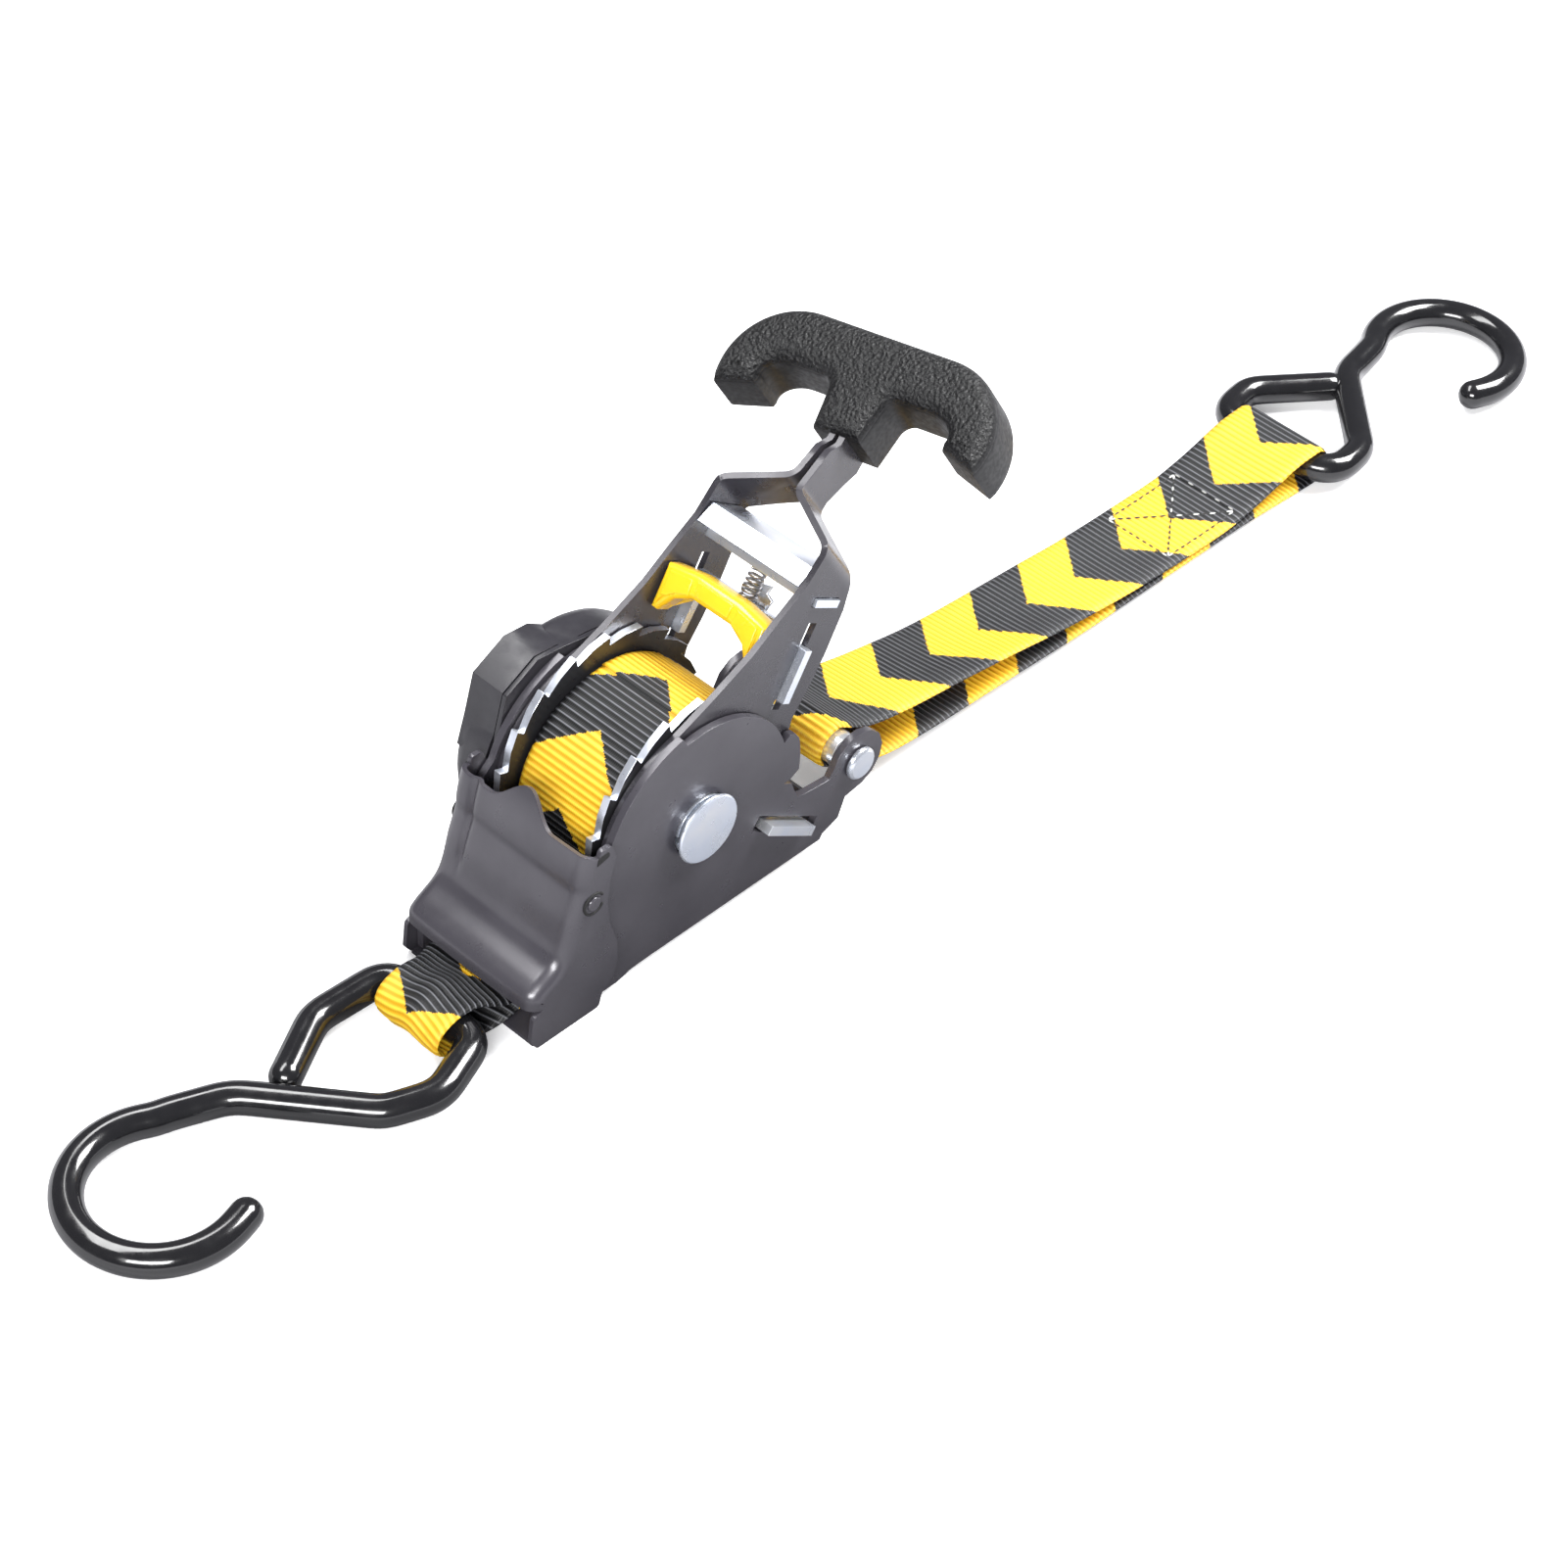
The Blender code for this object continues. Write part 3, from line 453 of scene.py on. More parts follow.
def strap(name, line, mat, thickness=1.3, half=None, closed=False, lift=None, start=0.0,
          columns=26, rib_height=0.26, bow=None):
    """Ribbed webbing along a side-view line (from the ground), with rounded selvages.

    half, lift and bow are functions of (s, x) or (s, x, y): half width, extra height of a
    point and how far the ribs are dragged along the webbing.
    """
    line = np.asarray(line, float)
    count = len(line)
    if closed:
        tangents = np.roll(line, -1, axis=0) - np.roll(line, 1, axis=0)
    else:
        tangents = np.gradient(line, axis=0)
    tangents /= np.linalg.norm(tangents, axis=1)[:, None]
    normals = np.stack([-tangents[:, 1], tangents[:, 0]], axis=1)
    steps = np.linalg.norm(np.diff(line, axis=0), axis=1)
    s = start + np.r_[0, np.cumsum(steps)]
    across = np.linspace(-1, 1, columns)
    edge = np.sqrt(np.clip(1 - np.abs(across) ** 14, 0, 1)) * 0.82 + 0.18
    section = [(v, e, 1) for v, e in zip(across, edge)]
    section += [(v, e, -1) for v, e in zip(across[::-1], edge[::-1])]
    vertices, uvs, faces = [], [], []
    for i in range(count):
        x, z = line[i]
        width = half(s[i], x) if half else WEB_HALF
        for v, e, side in section:
            y = v * width
            drag = bow(s[i], x, y) if bow else 0.0
            rib = 0.5 + 0.5 * math.cos(2 * math.pi * (s[i] + drag) / RIB)
            h = side * (thickness / 2 * e - rib_height * (1 - rib) * e)
            up = lift(s[i], x, y) if lift else 0.0
            vertices.append((x + normals[i, 0] * h, y, z + normals[i, 1] * h + up))
            uvs.append((s[i] + drag, y))
    ring = len(section)
    rows = count if closed else count - 1
    for i in range(rows):
        j = (i + 1) % count
        for k in range(ring):
            m = (k + 1) % ring
            faces.append((i * ring + k, i * ring + m, j * ring + m, j * ring + k))
    if not closed:
        faces.append(tuple(range(ring)))
        faces.append(tuple(range((count - 1) * ring, count * ring)))
    obj = new_object(name, vertices, faces, mat, 180)
    layer = obj.data.uv_layers.new(name="webbing_mm")
    flat = np.array(uvs)[[loop.vertex_index for loop in obj.data.loops]]
    if closed:
        faces_by_loop = np.array([p.index for p in obj.data.polygons for _ in p.vertices])
        seam = faces_by_loop >= (count - 1) * ring
        wrap = seam & (flat[:, 0] < start + 1.0)
        flat[wrap, 0] += s[-1] - start + steps.mean()
    layer.data.foreach_set("uv", flat.ravel())
    return obj


def filled(name, loops, mat):
    """A flat filled outline with holes, as a mesh in the XY plane, in mm."""
    curve = bpy.data.curves.new(name, "CURVE")
    curve.dimensions = "2D"
    curve.fill_mode = "BOTH"
    for loop in loops:
        spline = curve.splines.new("POLY")
        spline.points.add(len(loop) - 1)
        for point, (x, y) in zip(spline.points, loop):
            point.co = (x, y, 0, 1)
        spline.use_cyclic_u = True
    curve.materials.append(mat)
    obj = bpy.data.objects.new(name, curve)
    bpy.context.scene.collection.objects.link(obj)
    return baked(obj)


def rounded_slab(name, loops, depth, bevel, matrix, mat, resolution=4):
    """A thick outline with rounded rims, centred on its plane."""
    curve = bpy.data.curves.new(name, "CURVE")
    curve.dimensions = "2D"
    curve.fill_mode = "BOTH"
    curve.extrude = (depth / 2 - bevel) * MM
    curve.bevel_depth = bevel * MM
    curve.bevel_resolution = resolution
    curve.offset = -bevel * MM
    for loop in loops:
        spline = curve.splines.new("POLY")
        spline.points.add(len(loop) - 1)
        for point, (x, y) in zip(spline.points, loop):
            point.co = (x * MM, y * MM, 0, 1)
        spline.use_cyclic_u = True
    curve.materials.append(mat)
    obj = bpy.data.objects.new(name, curve)
    bpy.context.scene.collection.objects.link(obj)
    obj.matrix_world = matrix
    obj = baked(obj)
    bm = bmesh.new()
    bm.from_mesh(obj.data)
    bmesh.ops.remove_doubles(bm, verts=bm.verts, dist=1e-6)
    bmesh.ops.recalc_face_normals(bm, faces=bm.faces)
    bm.to_mesh(obj.data)
    bm.free()
    obj.data.shade_smooth()
    obj.data.set_sharp_from_angle(angle=math.radians(40))
    return obj


def pressed(obj, thickness, rim_width, even=True):
    """Turn a middle surface into pressed sheet metal with a rolled rim."""
    obj.data.shade_smooth()
    solid = obj.modifiers.new("sheet", "SOLIDIFY")
    solid.thickness = thickness * MM
    solid.offset = 0
    solid.use_even_offset = even
    rim = obj.modifiers.new("rim", "BEVEL")
    rim.width = rim_width * MM
    rim.segments = 3
    rim.limit_method = "ANGLE"
    rim.angle_limit = math.radians(50)
    flat = obj.modifiers.new("flat_faces_stay_flat", "WEIGHTED_NORMAL")
    flat.keep_sharp = False
    return baked(obj)


# ---------------------------------------------------------------- carried-over CAD nodes
def shading_group():
    """Geometry nodes that shade smooth below 35 degrees and sharp above."""
    tree = bpy.data.node_groups.new("shade_by_angle", "GeometryNodeTree")
    tree.interface.new_socket("Geometry", in_out="INPUT", socket_type="NodeSocketGeometry")
    tree.interface.new_socket("Geometry", in_out="OUTPUT", socket_type="NodeSocketGeometry")
    start = tree.nodes.new("NodeGroupInput")
    end = tree.nodes.new("NodeGroupOutput")
    strip = tree.nodes.new("GeometryNodeRemoveAttribute")
    strip.inputs["Name"].default_value = "custom_normal"
    faces = tree.nodes.new("GeometryNodeSetShadeSmooth")
    edges = tree.nodes.new("GeometryNodeSetShadeSmooth")
    edges.domain = "EDGE"
    edges.inputs["Shade Smooth"].default_value = False
    angle = tree.nodes.new("GeometryNodeInputMeshEdgeAngle")
    sharp = tree.nodes.new("FunctionNodeCompare")
    sharp.inputs["B"].default_value = math.radians(35)
    link = tree.links.new
    link(start.outputs[0], strip.inputs[0])
    link(strip.outputs[0], faces.inputs["Geometry"])
    link(faces.outputs[0], edges.inputs["Geometry"])
    link(angle.outputs["Unsigned Angle"], sharp.inputs["A"])
    link(sharp.outputs[0], edges.inputs["Selection"])
    link(edges.outputs[0], end.inputs[0])
    return tree


SHADING = shading_group()


def finish_node(name, mat, bevel=0.2, segments=2):
    """Give a CAD node its material, broken edges and smooth shading."""
    obj = NODES[name]
    obj.data.materials.clear()
    obj.data.materials.append(mat)
    weld = obj.modifiers.new("weld", "WELD")
    weld.merge_threshold = 2e-6
    if bevel:
        rim = obj.modifiers.new("broken_edges", "BEVEL")
        rim.width = bevel * MM
        rim.segments = segments
        rim.limit_method = "ANGLE"
        rim.angle_limit = math.radians(40)
    shade = obj.modifiers.new("shade", "NODES")
    shade.node_group = SHADING
    flat = obj.modifiers.new("flat_faces_stay_flat", "WEIGHTED_NORMAL")
    flat.keep_sharp = True


CARRIED = {
    "side_plate_near": (GREY, 0.25), "side_plate_far": (GREY, 0.25),
    "rear_pin": (ZINC, 0.3), "rear_spacer_tube": (ZINC, 0.2), "webbing_guide_pin": (ZINC, 0.2),
    "pawl_spring_seat": (GREY, 0.15), "power_spring": (STEEL, 0),
    "housing_backplate": (HOUSING, 0.2), "spring_housing": (HOUSING, 0.5),
    "housing_screw_1": (ZINC, 0.15), "housing_screw_2": (ZINC, 0.15),
    "housing_screw_3": (ZINC, 0.15), "spring_arbor": (HOUSING, 0.2),
    "axle_half_upper": (ZINC, 0.2), "axle_half_lower": (ZINC, 0.2), "axle_head": (ZINC, 0.35),
    "ratchet_wheel_near": (WHEEL, 0.15), "ratchet_wheel_far": (WHEEL, 0.15),
    "base_pawl": (ZINC, 0.2), "handle_pawl": (ZINC, 0.2), "retainer_bar": (ZINC, 0.25),
    "nose_rivet_near_upper": (GREY, 0.2), "nose_rivet_near_lower": (GREY, 0.2),
    "nose_rivet_far_upper": (GREY, 0.2), "nose_rivet_far_lower": (GREY, 0.2),
}
for node_name, (node_mat, node_bevel) in CARRIED.items():
    finish_node(node_name, node_mat, node_bevel)


# ---------------------------------------------------------------- rear strap
def rear_line():
    """Centre line of the folded rear strap, measured from the ground, and where its top starts."""
    around_pin = arc(PIN.x, PIN.z, 5.2, 250, 75, 24)
    upper = [(60.0, 19.9), (72.0, 17.0), (88.0, 14.2), (104.0, 11.2), (123.0, 8.3), (140.0, 6.5),
             (158.0, 5.1), (186.0, 4.6), (198.0, 5.9), (208.0, 8.2), (215.0, 9.8)]
    around_eye = arc(REAR_EYE_AT.x, REAR_EYE_AT.z, 4.75, 95, -95, 24)
    lower = [(212.0, 1.3), (200.0, 2.2), (188.0, 2.7), (160.0, 2.7), (140.0, 2.7), (120.0, 3.2),
             (103.0, 3.8), (84.0, 5.0), (67.0, 7.0), (58.0, 10.5)]
    first_leg = smooth_path(around_pin[-2:] + upper + around_eye[:2], 0.4)
    second_leg = smooth_path(around_eye[-2:] + lower + around_pin[:1], 0.4)
    parts = [np.array(around_pin[:-2]), first_leg, np.array(around_eye[2:-2]), second_leg[:-1]]
    wrap_length = 5.2 * math.radians(175)
    return even(np.vstack(parts + [np.array(around_pin[:1])]), RIB / 7)[:-1], wrap_length


def rear_lift(s, x, y):
    """The near edge of the upper layer rides up a little halfway along."""
    near = max(0.0, (0.35 - y / WEB_HALF) / 1.35)
    far = max(0.0, (0.6 + y / WEB_HALF) / 1.6)
    rise = math.exp(-((x - 113.0) / 26.0) ** 2)
    sink = math.exp(-((x - 92.0) / 30.0) ** 2)
    if s > 190:
        rise, sink = rise * 0.45, 0.0
    return (1.2 * near * near * rise - 2.2 * far * sink
            + 0.18 * math.sin(x / 9.0) * math.sin(y / 7.0 + 1))


def make_rear_strap():
    line, wrap_length = rear_line()
    obj = strap("rear_strap_webbing", line, REAR_WEB, closed=True, lift=rear_lift,
                start=-wrap_length)
    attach(obj, "rear_strap")
    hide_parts("rear_webbing")


def stitch(points, centre, heading, normal, length, mat_index):
    """One raised stitch: a small capsule lying on the webbing."""
    side = np.cross(normal, heading)
    rows, ring = 5, 6
    base = len(points[0])
    for i in range(rows):
        t = -1 + 2 * i / (rows - 1)
        r = math.sqrt(max(0.0, 1 - (t * 0.96) ** 2))
        for k in range(ring):
            a = 2 * math.pi * k / ring
            points[0].append(centre + heading * t * length / 2
                             + side * math.cos(a) * 0.26 * r + normal * math.sin(a) * 0.20 * r)
    for i in range(rows - 1):
        for k in range(ring):
            m = (k + 1) % ring
            points[1].append((base + i * ring + k, base + i * ring + m,
                              base + (i + 1) * ring + m, base + (i + 1) * ring + k))
            points[2].append(mat_index)
    for end in (0, rows - 1):
        points[1].append(tuple(base + end * ring + k for k in range(ring)))
        points[2].append(mat_index)


def make_stitching():
    """A sewn box with a cross that closes the rear loop."""
    line, wrap_length = rear_line()
    s = np.r_[0, np.cumsum(np.linalg.norm(np.diff(line, axis=0), axis=1))] - wrap_length
    low, high, half = 121.5, 146.5, 9.6
    corners = [(low, -half), (high, -half), (high, half), (low, half), (low, -half), (high, half),
               (high, -half), (low, half)]
    lines = list(zip(corners, corners[1:]))
    points = ([], [], [])
    for (s0, y0), (s1, y1) in lines:
        length = math.hypot(s1 - s0, y1 - y0)
        count = int(length / 2.1)
        for i in range(count):
            t = (i + 0.5) / count
            at, y = s0 + (s1 - s0) * t, y0 + (y1 - y0) * t
            k = int(np.searchsorted(s, at))
            tangent = line[k + 1] - line[k - 1]
            tangent = np.array((tangent[0], 0, tangent[1])) / np.linalg.norm(tangent)
            normal = np.array((-tangent[2], 0, tangent[0]))
            heading = tangent * (s1 - s0) / length + np.array((0, (y1 - y0) / length, 0))
            place = np.array((line[k][0], y, line[k][1] + rear_lift(at, line[k][0], y)))
            phase = ((at - CHEVRON_SLOPE * abs(y) - LAP_FIRST) / (2 * LAP_PITCH)) % 1.0
            pale = phase > 0.5 and i % 2 == 0
            stitch(points, place + normal * 0.66, heading, normal, 1.5, 1 if pale else 0)
    obj = new_object("rear_strap_stitching", points[0], points[1], THREAD, 60)
    obj.data.materials.append(PALE_THREAD)
    obj.data.polygons.foreach_set("material_index", points[2])
    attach(obj, "rear_strap")


# ---------------------------------------------------------------- webbing on the drum
COIL_R = 25.5
COIL_APEX_DEG = 119.2     # where one chevron's point lies on the drum
WRAP_DEG = 400            # the outer wrap goes a little over once round
WRAP_BEFORE_APEX_DEG = 330
CORE_INNER_R, CORE_OUTER_R = 9.0, 23.4


def make_coil():
    """The outer wrap with its ribs, and the wound layers inside it."""
    turns = np.radians(np.arange(0, WRAP_DEG, 0.5))
    lead_in = math.radians(WRAP_BEFORE_APEX_DEG)
    angles = math.radians(COIL_APEX_DEG) - turns + lead_in
    radius = COIL_R - 0.72 - np.linspace(0.0, 0.525, len(turns))
    line = np.stack([AXLE.x + radius * np.cos(angles), AXLE.z + radius * np.sin(angles)], axis=1)
    line = even(line, RIB / 7)
    apex_at = lead_in * (COIL_R - 0.9)
    outer = strap("coil_outer_wrap", line, COIL_WEB, start=-apex_at, columns=24,
                  half=lambda s, x: WEB_HALF - 0.05)
    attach(outer, "drum")
    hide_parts("wound_webbing")
    profile = []
    r = CORE_INNER_R
    while r < CORE_OUTER_R:
        profile += [(r, 12.05), (r + 0.35, 12.35), (r + 1.15, 12.35), (r + 1.5, 12.05)]
        r += 1.62
    profile.append((r, 11.9))
    rings = [(a, -b) for a, b in profile] + [(a, b) for a, b in profile[::-1]]
    vertices, faces, sides = [], [], 96
    for a, b in rings:
        for k in range(sides):
            t = 2 * math.pi * k / sides
            wob = a + 0.12 * math.sin(3 * t + a)
            vertices.append((AXLE.x + wob * math.cos(t), b, AXLE.z + wob * math.sin(t)))
    for i in range(len(rings)):
        j = (i + 1) % len(rings)
        for k in range(sides):
            m = (k + 1) % sides
            faces.append((i * sides + k, i * sides + m, j * sides + m, j * sides + k))
    core = new_object("coil_inner_wraps", vertices, faces, SHADED_WEB_EDGES, 60)
    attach(core, "drum")


# The sides of the wound layers are coloured nearly black: painted shade in the gap beside the wheels,
# in place of the webbing's own colours.
SHADED_WEB_EDGES = plastic("webbing_edges_painted_shade", (0.035, 0.028, 0.012), (0.006, 0.006, 0.007), 0.8, 0.6)


# ---------------------------------------------------------------- webbing at the nose


def lead_half(s, x):
    """The webbing is gathered where it passes the hook's eye."""
    t = min(max((x + 49.0) / -8.0, 0.0), 1.0)
    return WEB_HALF - 2.6 * t * t * (3 - 2 * t)


def lead_lift(s, x, y):
    t = min(max((x + 46.0) / -10.0, 0.0), 1.0)
    return t * (0.35 * math.cos(y / 2.6 + 0.6) + 0.25 * math.cos(y / 1.5) - 0.1)


def lead_bow(s, x, y):
    t = min(max((x + 44.0) / -14.0, 0.0), 1.0)
    return 2.6 * t * (1 - (y / WEB_HALF) ** 2)


def make_lead():
    """The folded end at the front hook, and the run of webbing inside the nose."""
    top = [(-38.0, 7.0), (-44.0, 7.4), (-52.0, 8.9), (-57.0, 10.4), (-62.0, 10.7), (-66.2, 9.0),
           (-68.0, 5.8), (-66.6, 2.6), (-62.0, 0.9), (-58.0, 1.1)]
    bottom = [(-54.0, 2.0), (-50.0, 4.2), (-44.0, 5.5), (-38.0, 5.5)]
    line = smooth_path(top + bottom, RIB / 7)
    loop_piece = strap("front_webbing_loop", line, LEAD_WEB, thickness=1.25, half=lead_half,
                       lift=lead_lift, bow=lead_bow, start=LEAD_START)
    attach(loop_piece, "lead")
    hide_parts("front_webbing")
    run = even([(-8.0, 7.05), (-46.0, 7.35)], 0.2)
    run_piece = strap("front_webbing_run", run, RUN_WEB, thickness=1.3, rib_height=0.0, columns=16)
    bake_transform(run_piece)


LEAD_START = -33.0


# ---------------------------------------------------------------- hooks
HOOK_WIRE_R = 3.7         # with its vinyl coat
HOOK_DROOP = 0.0185       # a fall of about 1 degree, so that the hook rests on the floor


def hook_path(eye, bow_centre, bow_radius, bow_span, tip_length):
    """Centre line of an S-hook: (u, y, z) with u measured from the eye."""
    flat = bent(eye, 12) + arc(*bow_centre, bow_radius, *bow_span, 64)
    heading = math.radians(bow_span[1] - 90)
    end = flat[-1]
    flat.append((end[0] + tip_length * math.cos(heading), end[1] + tip_length * math.sin(heading)))
    path = even(flat, 0.8)
    for _ in range(6):
        path[1:-1] = (path[:-2] + 2 * path[1:-1] + path[2:]) / 4
    return np.stack([path[:, 0], path[:, 1], -HOOK_DROOP * path[:, 0]], axis=1)


def make_hooks():
    front = hook_path([(35.0, 6.6, 0), (20.0, 15.0, 9), (0.0, 13.8, 5.0), (0.0, -13.6, 5.0),
                       (15.5, -19.6, 9), (27.0, -15.0, 6), (46.8, 10.2, 12), (59.4, 15.6, 0)],
                      (73.3, 1.0), 18.9, (126, -106), 3.0)
    rear = hook_path([(29.6, 6.6, 0), (12.5, 19.4, 6.5), (0.0, 17.6, 6.0), (0.0, -17.2, 7.0),
                      (14.5, -15.6, 9), (36.5, 6.8, 12), (50.4, 9.4, 0)],
                     (63.2, -4.3), 18.0, (124, -112), 2.0)
    for name, path, eye, sign in (("front_hook", front, FRONT_EYE_AT, -1),
                                  ("rear_hook", rear, REAR_EYE_AT, 1)):
        placed = path * (sign, 1, 1) + np.array((eye.x, 0, eye.z))
        obj = tube(f"{name}_wire", placed, HOOK_WIRE_R, VINYL)
        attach(obj, name)
        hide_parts(name)


# ---------------------------------------------------------------- handle
NECK_DEG = 32.0
PAWL_DEG = 60.0
BASE_PAWL_DEG = -33.0
SPRING_TURNS, SPRING_WIRE_R = 5, 0.4
GRIP_LEAN = 0.19          # the T-bar leans this far, in radians
ARM_SHEET = 1.5


def neck_point(along, up):
    c, s = math.cos(math.radians(NECK_DEG)), math.sin(math.radians(NECK_DEG))
    return along * c - up * s, along * s + up * c


def arm_silhouette():
    points = arc(0, 0, 27.5, 104, 368, 60)
    points += [(29.2, 10.8), (33.6, 16.6), (38.5, 23.8), (43.6, 33.3), (46.0, 41.5)]
    points += [neck_point(66, 11.0), neck_point(71, 10.6), neck_point(77, 7.6)]
    points += [neck_point(81, 5.2), neck_point(97, 5.2), neck_point(97, 17.2)]
    points += [neck_point(82, 17.2), neck_point(79, 20.0), neck_point(68, 23.2)]
    points += [(37.9, 53.4), (31.5, 46.8), (24.4, 42.4), (16.0, 36.8), (4.6, 31.4)]
    return points


def make_arm(side, corners):
    """A pressed steel arm whose neck is bent round in smooth curves."""
    holes = [circle(0, 0, 7.8), block((26.4, 47.5), (-13.3, -10.5), PAWL_DEG),
             block((51.3, 53.7), (-17.4, -8.6), PAWL_DEG)]
    obj = filled(f"handle_arm_{side}_sheet", [arm_silhouette()] + holes, SHADED_ARM_GREY)
    curve = np.array(bent(corners, 10))
    c, s = math.cos(math.radians(NECK_DEG)), math.sin(math.radians(NECK_DEG))
    bm = bmesh.new()
    bm.from_mesh(obj.data)
    bmesh.ops.remove_doubles(bm, verts=bm.verts, dist=1e-4)
    for cut in np.arange(56.0, 76.0, 0.45):
        geometry = list(bm.verts) + list(bm.edges) + list(bm.faces)
        bmesh.ops.bisect_plane(bm, geom=geometry, plane_co=(cut * c, cut * s, 0),
                               plane_no=(c, s, 0), dist=1e-4)
    for vertex in bm.verts:
        x, z = vertex.co.x, vertex.co.y
        y = float(np.interp(x * c + z * s, curve[:, 0], curve[:, 1]))
        vertex.co = Vector((AXLE.x + x, y, AXLE.z + z)) * MM
    bmesh.ops.recalc_face_normals(bm, faces=bm.faces)
    bm.to_mesh(obj.data)
    bm.free()
    obj = pressed(obj, ARM_SHEET, 0.3)
    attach(obj, "handle")
    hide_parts(f"handle_arm_{side}")


def grip_frame():
    neck = math.radians(NECK_DEG)
    h = Vector((math.cos(neck), 0, math.sin(neck)))
    t = Vector((-math.sin(neck), 0, math.cos(neck)))
    bar = Vector((0, -math.cos(GRIP_LEAN), 0)) + h * math.sin(GRIP_LEAN)
    up = h * math.cos(GRIP_LEAN) + Vector((0, math.sin(GRIP_LEAN), 0))
    turn = Matrix((bar, up, bar.cross(up))).transposed().to_4x4()
    place = h * 101.3 + t * 11.0 + Vector((0, 8.0, 0)) + Vector((AXLE.x, 0, AXLE.z))
    return Matrix.Translation(place * MM) @ turn


def grip_outline():
    half, bend, thick = 17.2, 10.9, 13.4
    outer = arc(half, -bend, bend + thick / 2, 90, -12, 22)
    inner = [(half + (x - half) * 1.65, y)
             for x, y in arc(half, -bend, bend - thick / 2, -12, 90, 14)]
    tip = [(outer[-1][0] - 0.6, outer[-1][1] - 1.6), (inner[0][0] + 0.3, inner[0][1] - 1.6)]
    stem = bent([(inner[-1][0], inner[-1][1], 0), (7.6, -thick / 2, 3.0), (6.2, -18.3, 0)], 8)[1:]
    right = outer + tip + inner + stem
    return right + [(-x, y) for x, y in right[::-1]]


def make_grip():
    """The moulded T-grip."""
    obj = rounded_slab("handle_t_grip", [grip_outline()], 17.5, 3.8, grip_frame(), RUBBER, 8)
    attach(obj, "handle")
    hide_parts("handle_grip")


def coil_spring(name, radius, span, degrees, offset, body, joint):
    """A round-wire coil spring for a pawl, in place of that pawl joint's CAD spring."""
    a = np.linspace(0, 2 * math.pi * SPRING_TURNS, SPRING_TURNS * 28)
    path = np.stack([np.linspace(*span, len(a)), radius * np.cos(a), radius * np.sin(a)], 1)
    matrix = tilted(degrees, offset)
    homogeneous = np.c_[path, np.full(len(path), 1.0)] @ np.array(matrix).T
    obj = tube(name, homogeneous[:, :3], SPRING_WIRE_R, STEEL, 10)
    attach(obj, body)
    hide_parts(f"{joint.removesuffix('_slide')}_spring")
    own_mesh(obj)


def tilted(degrees, offset):
    """Local X along a direction in the side view, in mm, shifted square to it."""
    c, s = math.cos(math.radians(degrees)), math.sin(math.radians(degrees))
    turn = Matrix(((c, 0, -s, AXLE.x), (0, 1, 0, 0), (s, 0, c, AXLE.z), (0, 0, 0, 1)))
    return turn @ Matrix.Translation((0, 0, offset))


def side_slab(name, loops, depth, bevel, y, mat):
    """A rounded slab whose outline lies in the side view, measured from the axle."""
    view = Matrix(((1, 0, 0, AXLE.x * MM), (0, 0, -1, y * MM), (0, 1, 0, AXLE.z * MM),
                   (0, 0, 0, 1)))
    return rounded_slab(name, loops, depth, bevel, view, mat)


def pawl_section(points):
    """Side-view points given along and across the handle pawl's direction."""
    c, s = math.cos(math.radians(PAWL_DEG)), math.sin(math.radians(PAWL_DEG))
    return [(u * c - v * s, u * s + v * c) for u, v in points]


def make_trigger():
    """The yellow pull trigger across the handle, with raised panels and two cheeks."""
    front = [(34.6, 14.9), (45.2, 14.9), (46.6, 6.2), (46.6, -6.2), (45.2, -14.9), (34.6, -14.9),
             (34.6, -13.2), (38.8, -10.2), (41.0, -5.6), (41.0, 5.6), (38.8, 10.2), (34.6, 13.2)]
    matrix = tilted(PAWL_DEG, -2.0)
    matrix.translation *= MM
    body = rounded_slab("trigger_pull", [front], 6.4, 1.6, matrix, YELLOW, 6)
    raised = tilted(PAWL_DEG, 1.1)
    raised.translation *= MM
    panels = [[(42.2, 4.9), (45.6, 5.2), (45.6, -5.2), (42.2, -4.9)]]
    for side in (1, -1):
        panels.append([(41.6, side * 6.3), (45.3, side * 6.7), (44.3, side * 12.9),
                       (38.2, side * 13.2), (38.9, side * 11.4), (40.4, side * 9.6)])
    pads = rounded_slab("trigger_panels", panels, 1.0, 0.35, raised, YELLOW, 3)
    cheek = pawl_section([(35.4, -3.0), (44.6, -3.0), (42.8, -10.4), (36.8, -10.4)])
    for name, y in (("trigger_cheek_near", -13.4), ("trigger_cheek_far", 13.4)):
        cheek_piece = side_slab(name, [cheek], 2.6, 0.8, y, YELLOW)
        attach(cheek_piece, "handle_pawl")
    for piece in (body, pads):
        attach(piece, "handle_pawl")
    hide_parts("trigger")
    behind = tilted(PAWL_DEG, -13.6)
    behind.translation *= MM
    guide = rounded_slab("pawl_spring_guide", [[(42.6, -3.6), (46.0, -4.4), (46.8, -2.4), (48.8, -3.0),
                                                (48.0, 0.2), (48.8, 2.8), (46.6, 2.2), (45.6, 4.6),
                                                (42.6, 3.6)]], 0.8, 0.2, behind, ZINC)
    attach(guide, "handle_pawl")


# ---------------------------------------------------------------- nose cover
def lobe_height(y):
    """Height of the hood's top edge above the axle across the width."""
    return 12.4 + 5.6 * math.cos(min(abs(y) / 9.5, 1.0) * math.pi / 2) ** 2


NOSE_Y, NOSE_ROUND = 19.75, 2.8
NOSE_SHEET = 1.1


